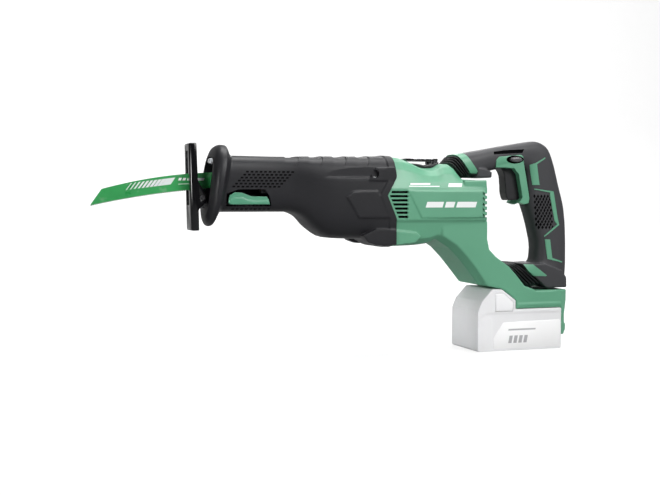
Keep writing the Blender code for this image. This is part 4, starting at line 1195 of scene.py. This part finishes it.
class SAW_OT_handle(Operator):
    """Rear handle: soft grip, green trigger bezel and inlays, diamond texture"""

    bl_idname = "saw.handle"
    bl_label = "Rear handle"

    def execute(self, context):
        foot = [(224, 108), (244, 106.5), (258, 107), (284, 98), (291, 88), (292, 75.8)]
        foot += [(262.5, 75.8)]
        plan = [(200, -27.8), (289.5, -27.8), (292.5, -25), (292.5, 25), (289.5, 27.8), (200, 27.8)]
        foot = cross(prism(foot, -40, 40), prism(plan, 60.0, 120.0, along="Z"))
        collar = [(166, 214.8), (187, 214.2), (188, 221), (180, 226), (170, 226)]
        grip = moulded(grip_loft(), foot, prism(collar, -20.6, 20.6), keep=0.35)
        painted(grip, "Grip_Rubber")
        # Slots whose walls are painted near-black as shade
        slot = [(191, 243.4), (231, 246), (234, 250.6), (192, 248)]
        slots = [painted(each, "Pit_Black") for each in plates(slot, 16.4, 40.0)]
        well = box((200, -9.5, 180), (246, 9.5, 232.6))
        pits = self.diamonds(grip)
        grip = cut(grip, well, *self.lock_cuts(), *slots, *pits)
        place(grip, "Grip", "handle", None, ["Rear_Handle"])
        self.bezel()
        self.inlays()
        return {"FINISHED"}

    @staticmethod
    def lock_cuts():
        """The hole for the lock button, and the shallow oval sunk into each side round it, whose walls are
        painted near-black as shade.
        """
        x, z = LOCK_BUTTON
        hole = skin([oval_ring(x, y, z, 9.2, 3.8, 32) for y in (-30, 30)], "hole")
        ends = [sorted((side * 15.9, side * 40.0)) for side in (-1, 1)]
        sunk = [skin([oval_ring(x - 2.0, y, z, 12.2, 5.0, 32) for y in each], "sunk") for each in ends]
        return [hole] + [painted(each, "Pit_Black") for each in sunk]

    def bezel(self):
        """Green frame round the trigger and the lock button."""
        outline = [(194, 227.5), (194, 236), (198, 240.6), (229, 243.6), (232, 241.8), (237.5, 214)]
        outline += [(242, 189), (241, 183), (235, 181), (227.5, 183.6), (232, 190), (226.5, 219)]
        outline += [(220, 226.5)]
        body = cross(grip_loft(0.9), prism(outline, -40.0, 40.0))
        body = moulded(body, prism(outline, -17.6, 17.6), mould=0.75, rounds=0.6, keep=0.4)
        painted(body, "Inlay_Green")
        body = cut(body, box((200, -9.4, 175), (246, 9.4, 232.5)), *self.lock_cuts())
        place(body, "Trigger_Bezel", "handle", None)

    @staticmethod
    def inlays():
        """Green lines moulded into the grip."""
        outlines = [
            [(263.5, 240.6), (263.9, 239.4), (251.8, 232), (255.6, 205.8)]
            + [(246.6, 205.8), (242, 231), (250, 233.4)],
            [(248.8, 201.3), (249, 200), (271, 196.3), (270.8, 193), (277.8, 160), (282, 155.9)]
            + [(263.5, 141.4), (263.9, 140), (284.8, 155.2), (282.6, 163), (276.2, 197.6)],
            [(264.5, 137), (271.6, 136.6), (274.6, 113), (289.5, 108.2)]
            + [(289.3, 106.8), (273, 110.8), (268, 111.6)],
            [(136, 243.6), (151.4, 244.6), (160.6, 231.6), (168.6, 221.4), (169, 219.6), (154, 219.6)],
        ]
        parts = [cross(grip_loft(0.6), prism(outline, -40.0, 40.0)) for outline in outlines]
        panel = [(227.6, 106.6), (242, 106), (262.3, 91.4), (260, 90.6), (244, 91.2), (236, 97.6)]
        parts += plates(panel, 20.0, 28.0, 0.3)
        place(merged(*parts), "Grip_Inlays", "handle", "Inlay_Green")

    @staticmethod
    def diamonds(grip):
        """Cutters for the net of diamonds on both sides of the grip, which paint the diamond walls
        near-black as shade.
        """
        pitch = sizes().diamond_pitch / MM
        wide, tall = pitch * 0.36, pitch * 0.57
        pit = prism([(0, tall), (wide, 0), (0, -tall), (-wide, 0)], -0.8, 0.8, "pit")
        step = (0.45, -pitch * 0.78)
        made = [field(grip, pit, side, (5, 12), (249.6, 191.5), pitch, step, 0.5) for side in (-1, 1)]
        bpy.data.objects.remove(pit)
        return made


class SAW_OT_bellows(Operator):
    """Rubber bellows at both ends of the handle"""

    bl_idname = "saw.bellows"
    bl_label = "Bellows"

    def execute(self, context):
        upper = ((147.8, 213.2), (130, 231.8), (159.4, 215.2), (139.2, 241.8), 23.0)
        lower = ((238, 74.5), (206, 106), (258, 78.5), (221.5, 107.5), 27.0)
        self.tube(upper, "Upper_Bellows", "Bellows_Upper")
        self.tube(lower, "Lower_Bellows", "Bellows_Lower")
        return {"FINISHED"}

    @staticmethod
    def tube(shape, name, node):
        """A ribbed tube from one line to another, blended from the housing to the handle."""
        (ax, az), (bx, bz), (cx, cz), (dx, dz), half_w = shape
        count, steps = 64, 12 * sizes().bellows_ribs
        rings = []
        for i in range(steps + 1):
            t = i / steps
            line = (ax + (cx - ax) * t, az + (cz - az) * t, bx + (dx - bx) * t, bz + (dz - bz) * t, half_w)
            rings.append(spine_ring(*line, power=4.0, count=count))
        body = skin(rings, name)
        along = body.data.attributes.new("along", "FLOAT", "POINT")
        along.data.foreach_set("value", np.repeat(np.arange(steps + 1) / steps, count).astype(np.float32))
        values = {"Ribs": sizes().bellows_ribs, "Depth": sizes().rib_depth}
        values["Material"] = finish("Bellows_Rubber")
        body = grown("Ribbed tube", rib_tree, name, values, body)
        place(body, name, None, None, [node], 60)
        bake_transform(body)


class SAW_OT_trigger(Operator):
    """Trigger, and the lock button across the handle"""

    bl_idname = "saw.trigger"
    bl_label = "Trigger and lock button"

    def execute(self, context):
        outline = [(205, 227.5), (209, 223), (211.5, 217), (212.4, 206), (213, 196), (215, 189)]
        outline += [(217, 186.5), (238, 187.5), (238.5, 205), (238, 226), (232, 227.5)]
        body = moulded(prism(outline, -8.8, 8.8, "trigger"), mould=0.7, keep=0.4)
        place(body, "Trigger_Lever", "trigger", "Black_Nylon", ["Trigger"])
        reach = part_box("Lock_Off_Button")[1].y / MM
        crown = [(reach - 1.6, 0.95), (reach - 0.5, 0.8), (reach, 0.5)]
        profile = [(-y, share) for y, share in reversed(crown)] + crown
        x, z = LOCK_BUTTON
        button = skin([oval_ring(x, y, z, 8.8 * share, 3.5 * share, 28) for y, share in profile], "button")
        place(button, "Lock_Button", "lock_button", "Button_Grey", ["Lock_Off_Button"])
        return {"FINISHED"}


class SAW_OT_hook(Operator):
    """Polished folding hook"""

    bl_idname = "saw.hook"
    bl_label = "Folding hook"

    def execute(self, context):
        body = copied("Folding_Hook", "Hook")
        swell = body.modifiers.new("swell", "DISPLACE")
        swell.strength = 0.5 * MM
        swell.mid_level = 0.0
        body = rounded(body, 0.5)
        place(body, "Hook", "hook", "Hook_Steel", ["Folding_Hook"])
        return {"FINISHED"}


class SAW_OT_battery(Operator):
    """Pale slide-on battery with its side plates and release buttons"""

    bl_idname = "saw.battery"
    bl_label = "Battery"

    def execute(self, context):
        outline = [(161, 1.5), (162.5, 0), (276.5, 0), (278, 1.5), (278, 51.2), (213.2, 51.2)]
        outline += [(213.2, 62.2), (194, 76.4), (181, 76.8), (166.5, 62), (161, 49.5)]
        case = prism(outline, -37.0, 37.0, "case")
        frame_cut = [(163.5, 2.5), (163.5, 42), (172, 47), (277, 47), (277, 2.5)]
        case = cut(case, *plates(frame_cut, 36.4, 50.0))
        pocket = [(184.7, 48.7), (209.3, 48.7), (210.3, 60.2), (196.2, 71.3), (184.7, 71.3)]
        arch = [(164, 30), (168, 38), (176, 42), (180, 40), (180, 3), (164, 3)]
        case = moulded(case, *plates(arch, 20.0, 36.8), keep=0.25)
        case = cut(case, *plates(pocket, 32.2, 50.0))
        place(case, "Battery_Case", "battery", "Battery_Case", ["Battery_Pack"])
        label = [(182.5, 3), (182.5, 16), (196, 35), (275, 36.5), (276, 35), (276, 3)]
        for side, name in ((-1, "Side_Plate_Left"), (1, "Side_Plate_Right")):
            plate = side_plate(side, label, 35.0, 37.1, 0.3)
            place(plate, name, "battery", "Battery_Label")
        for side in ("left", "right"):
            node = f"Battery_Button_{side.title()}"
            button = rounded(copied(node, "button"), 0.5)
            name, body = f"Release_{side.title()}", f"battery_button_{side}"
            place(button, name, body, "Battery_Button", [node])
        return {"FINISHED"}


class SAW_OT_drive(Operator):
    """Finishes for the drive, motor and electrics inside"""

    bl_idname = "saw.drive"
    bl_label = "Drive and motor"

    def execute(self, context):
        inside = {
            "Cast_Alloy": ("Gear_Case", "Bearing_Plate"),
            "Bronze": ("Bushing_Front", "Bushing_Rear"),
            "Bright_Steel": ("Plunger", "Handle_Pin", "Rotor_Shaft", "Intermediate_Shaft"),
            "Gear_Steel": ("Wobble_Ring", "Wobble_Hub", "Large_Gear", "Pinion", "Shaft_Bearing_Front")
            + ("Shaft_Bearing_Rear", "Motor_Bearing_Front", "Motor_Bearing_Rear", "Clamp_Sleeve"),
            "Dark_Steel": ("Rotor_Core", "Shoe_Pin"),
            "Windings": ("Stator",),
            "Black_Nylon": ("Fan", "Terminal_Block", "Trigger_Switch"),
            "Board_Green": ("Control_Board",),
        }
        for name, nodes in inside.items():
            for node in nodes:
                painted(CAD[node], name)
        return {"FINISHED"}


class SAW_OT_stage(Operator):
    """Pale floor and backdrop, soft studio lights and the camera"""

    bl_idname = "saw.stage"
    bl_label = "Stage"

    def execute(self, context):
        bm = bmesh.new()
        sweep = ((-3, 0), (1.6, 0), (2.2, 0.12), (2.6, 0.5), (2.7, 3))
        rows = [[bm.verts.new((x, y, z)) for x in (-4, 4)] for y, z in sweep]
        for a, b in zip(rows, rows[1:]):
            bm.faces.new((a[0], a[1], b[1], b[0]))
        floor = meshed(bm, "Floor")
        floor.data.shade_smooth()
        paper = plastic("Floor_Paper", colours().floor, 0.85, 3.0, 0.02, dust=0.0, specular=0.1)
        shader = paper.node_tree.nodes["Principled BSDF"]
        tree = paper.node_tree
        seen = add(tree, "ShaderNodeLightPath").outputs["Is Camera Ray"]
        tree.links.new(calc(tree, "MULTIPLY", seen, 0.75), shader.inputs["Emission Strength"])
        shader.inputs["Emission Color"].default_value = (1, 1, 1, 1)
        floor.data.materials.append(paper)
        world = bpy.data.worlds.new("Studio")
        world.use_nodes = True
        sky = world.node_tree
        way = add(sky, "ShaderNodeTexCoord").outputs["Generated"]
        way = add(sky, "ShaderNodeSeparateXYZ", {0: way}).outputs
        glow = ramp(sky, calc(sky, "ADD", way[0], way[1]), -1.3, 1.3, 0.01, 0.3)
        sky.nodes["Background"].inputs["Color"].default_value = (0.95, 0.97, 1, 1)
        sky.links.new(glow, sky.nodes["Background"].inputs["Strength"])
        context.scene.world = world
        context.scene.view_settings.view_transform = "Standard"
        middle = Vector((0, 0, 0.15))
        lamps = [
            ("Key", (0.7, -1.3, 1.1), 0.9, 0.9, 27.0, middle, 180),
            ("Strip", (-1.1, -0.8, 0.25), 0.4, 0.9, 0.6, Vector((-0.2, 0, 0.2)), 20),
            ("Card", (-0.9, -0.45, 0.07), 0.1, 0.1, 0.02, Vector((0.17, 0, 0.03)), 8),
            ("Top", (0.2, 0.2, 1.6), 1.2, 0.9, 24.0, middle, 180),
            ("Rim", (0.7, 1.2, 0.9), 0.6, 0.6, 4.0, middle, 180),
            ("Backdrop", (0, 0.9, 1.6), 3.6, 1.0, 90.0, Vector((0, 2.6, 0.5)), 180),
        ]
        for name, spot, width, height, watts, aim, spread in lamps:
            light = bpy.data.lights.new(name, "AREA")
            light.spread = math.radians(spread)
            light.shape = "RECTANGLE"
            light.size, light.size_y = width, height
            light.energy = watts
            lamp = linked(name, light)
            lamp.location = spot
            lamp.rotation_euler = (aim - Vector(spot)).to_track_quat("-Z", "Y").to_euler()
        self.camera(context)
        return {"FINISHED"}

    @staticmethod
    def camera(context):
        """Seen from the left, a little from the front, at the height of the blade."""
        azimuth, elevation, distance = math.radians(-18.7), math.radians(2.607), 1.253
        flat = math.cos(elevation)
        back = Vector((math.sin(azimuth) * flat, -math.cos(azimuth) * flat, math.sin(elevation)))
        data = bpy.data.cameras.new("Camera")
        data.sensor_width = 36.0
        data.lens = 56.9
        camera = linked("Camera", data)
        camera.location = Vector((-0.018, 0, 0.1298)) + back * distance
        camera.rotation_euler = back.to_track_quat("Z", "Y").to_euler()
        context.scene.camera = camera


# ---------------- add-on

PIECES = (
    SAW_OT_cover,
    SAW_OT_lever,
    SAW_OT_shoe,
    SAW_OT_blade,
    SAW_OT_housing,
    SAW_OT_screws,
    SAW_OT_handle,
    SAW_OT_bellows,
    SAW_OT_trigger,
    SAW_OT_hook,
    SAW_OT_battery,
    SAW_OT_drive,
    SAW_OT_stage,
)


class SAW_PT_panel(Panel):
    """Lists the pieces of the saw and the sizes and colours that shape them."""

    bl_idname = "SAW_PT_panel"
    bl_label = "Reciprocating Saw"
    bl_space_type = "VIEW_3D"
    bl_region_type = "UI"
    bl_category = "Saw"

    def draw(self, context):
        for piece in PIECES:
            self.layout.operator(piece.bl_idname)
        for group in (context.scene.saw_sizes, context.scene.saw_colours):
            column = self.layout.column()
            for name in group.__annotations__:
                column.prop(group, name)


CLASSES = (SAW_PG_sizes, SAW_PG_colours, *PIECES, SAW_PT_panel)


def register():
    for each in CLASSES:
        bpy.utils.register_class(each)
    bpy.types.Scene.saw_sizes = PointerProperty(type=SAW_PG_sizes)
    bpy.types.Scene.saw_colours = PointerProperty(type=SAW_PG_colours)


def unregister():
    del bpy.types.Scene.saw_colours
    del bpy.types.Scene.saw_sizes
    for each in reversed(CLASSES):
        bpy.utils.unregister_class(each)


def main():
    register()
    for name in [piece.bl_idname.split(".")[1] for piece in PIECES]:
        getattr(bpy.ops.saw, name)()


if __name__ == "__main__":
    main()
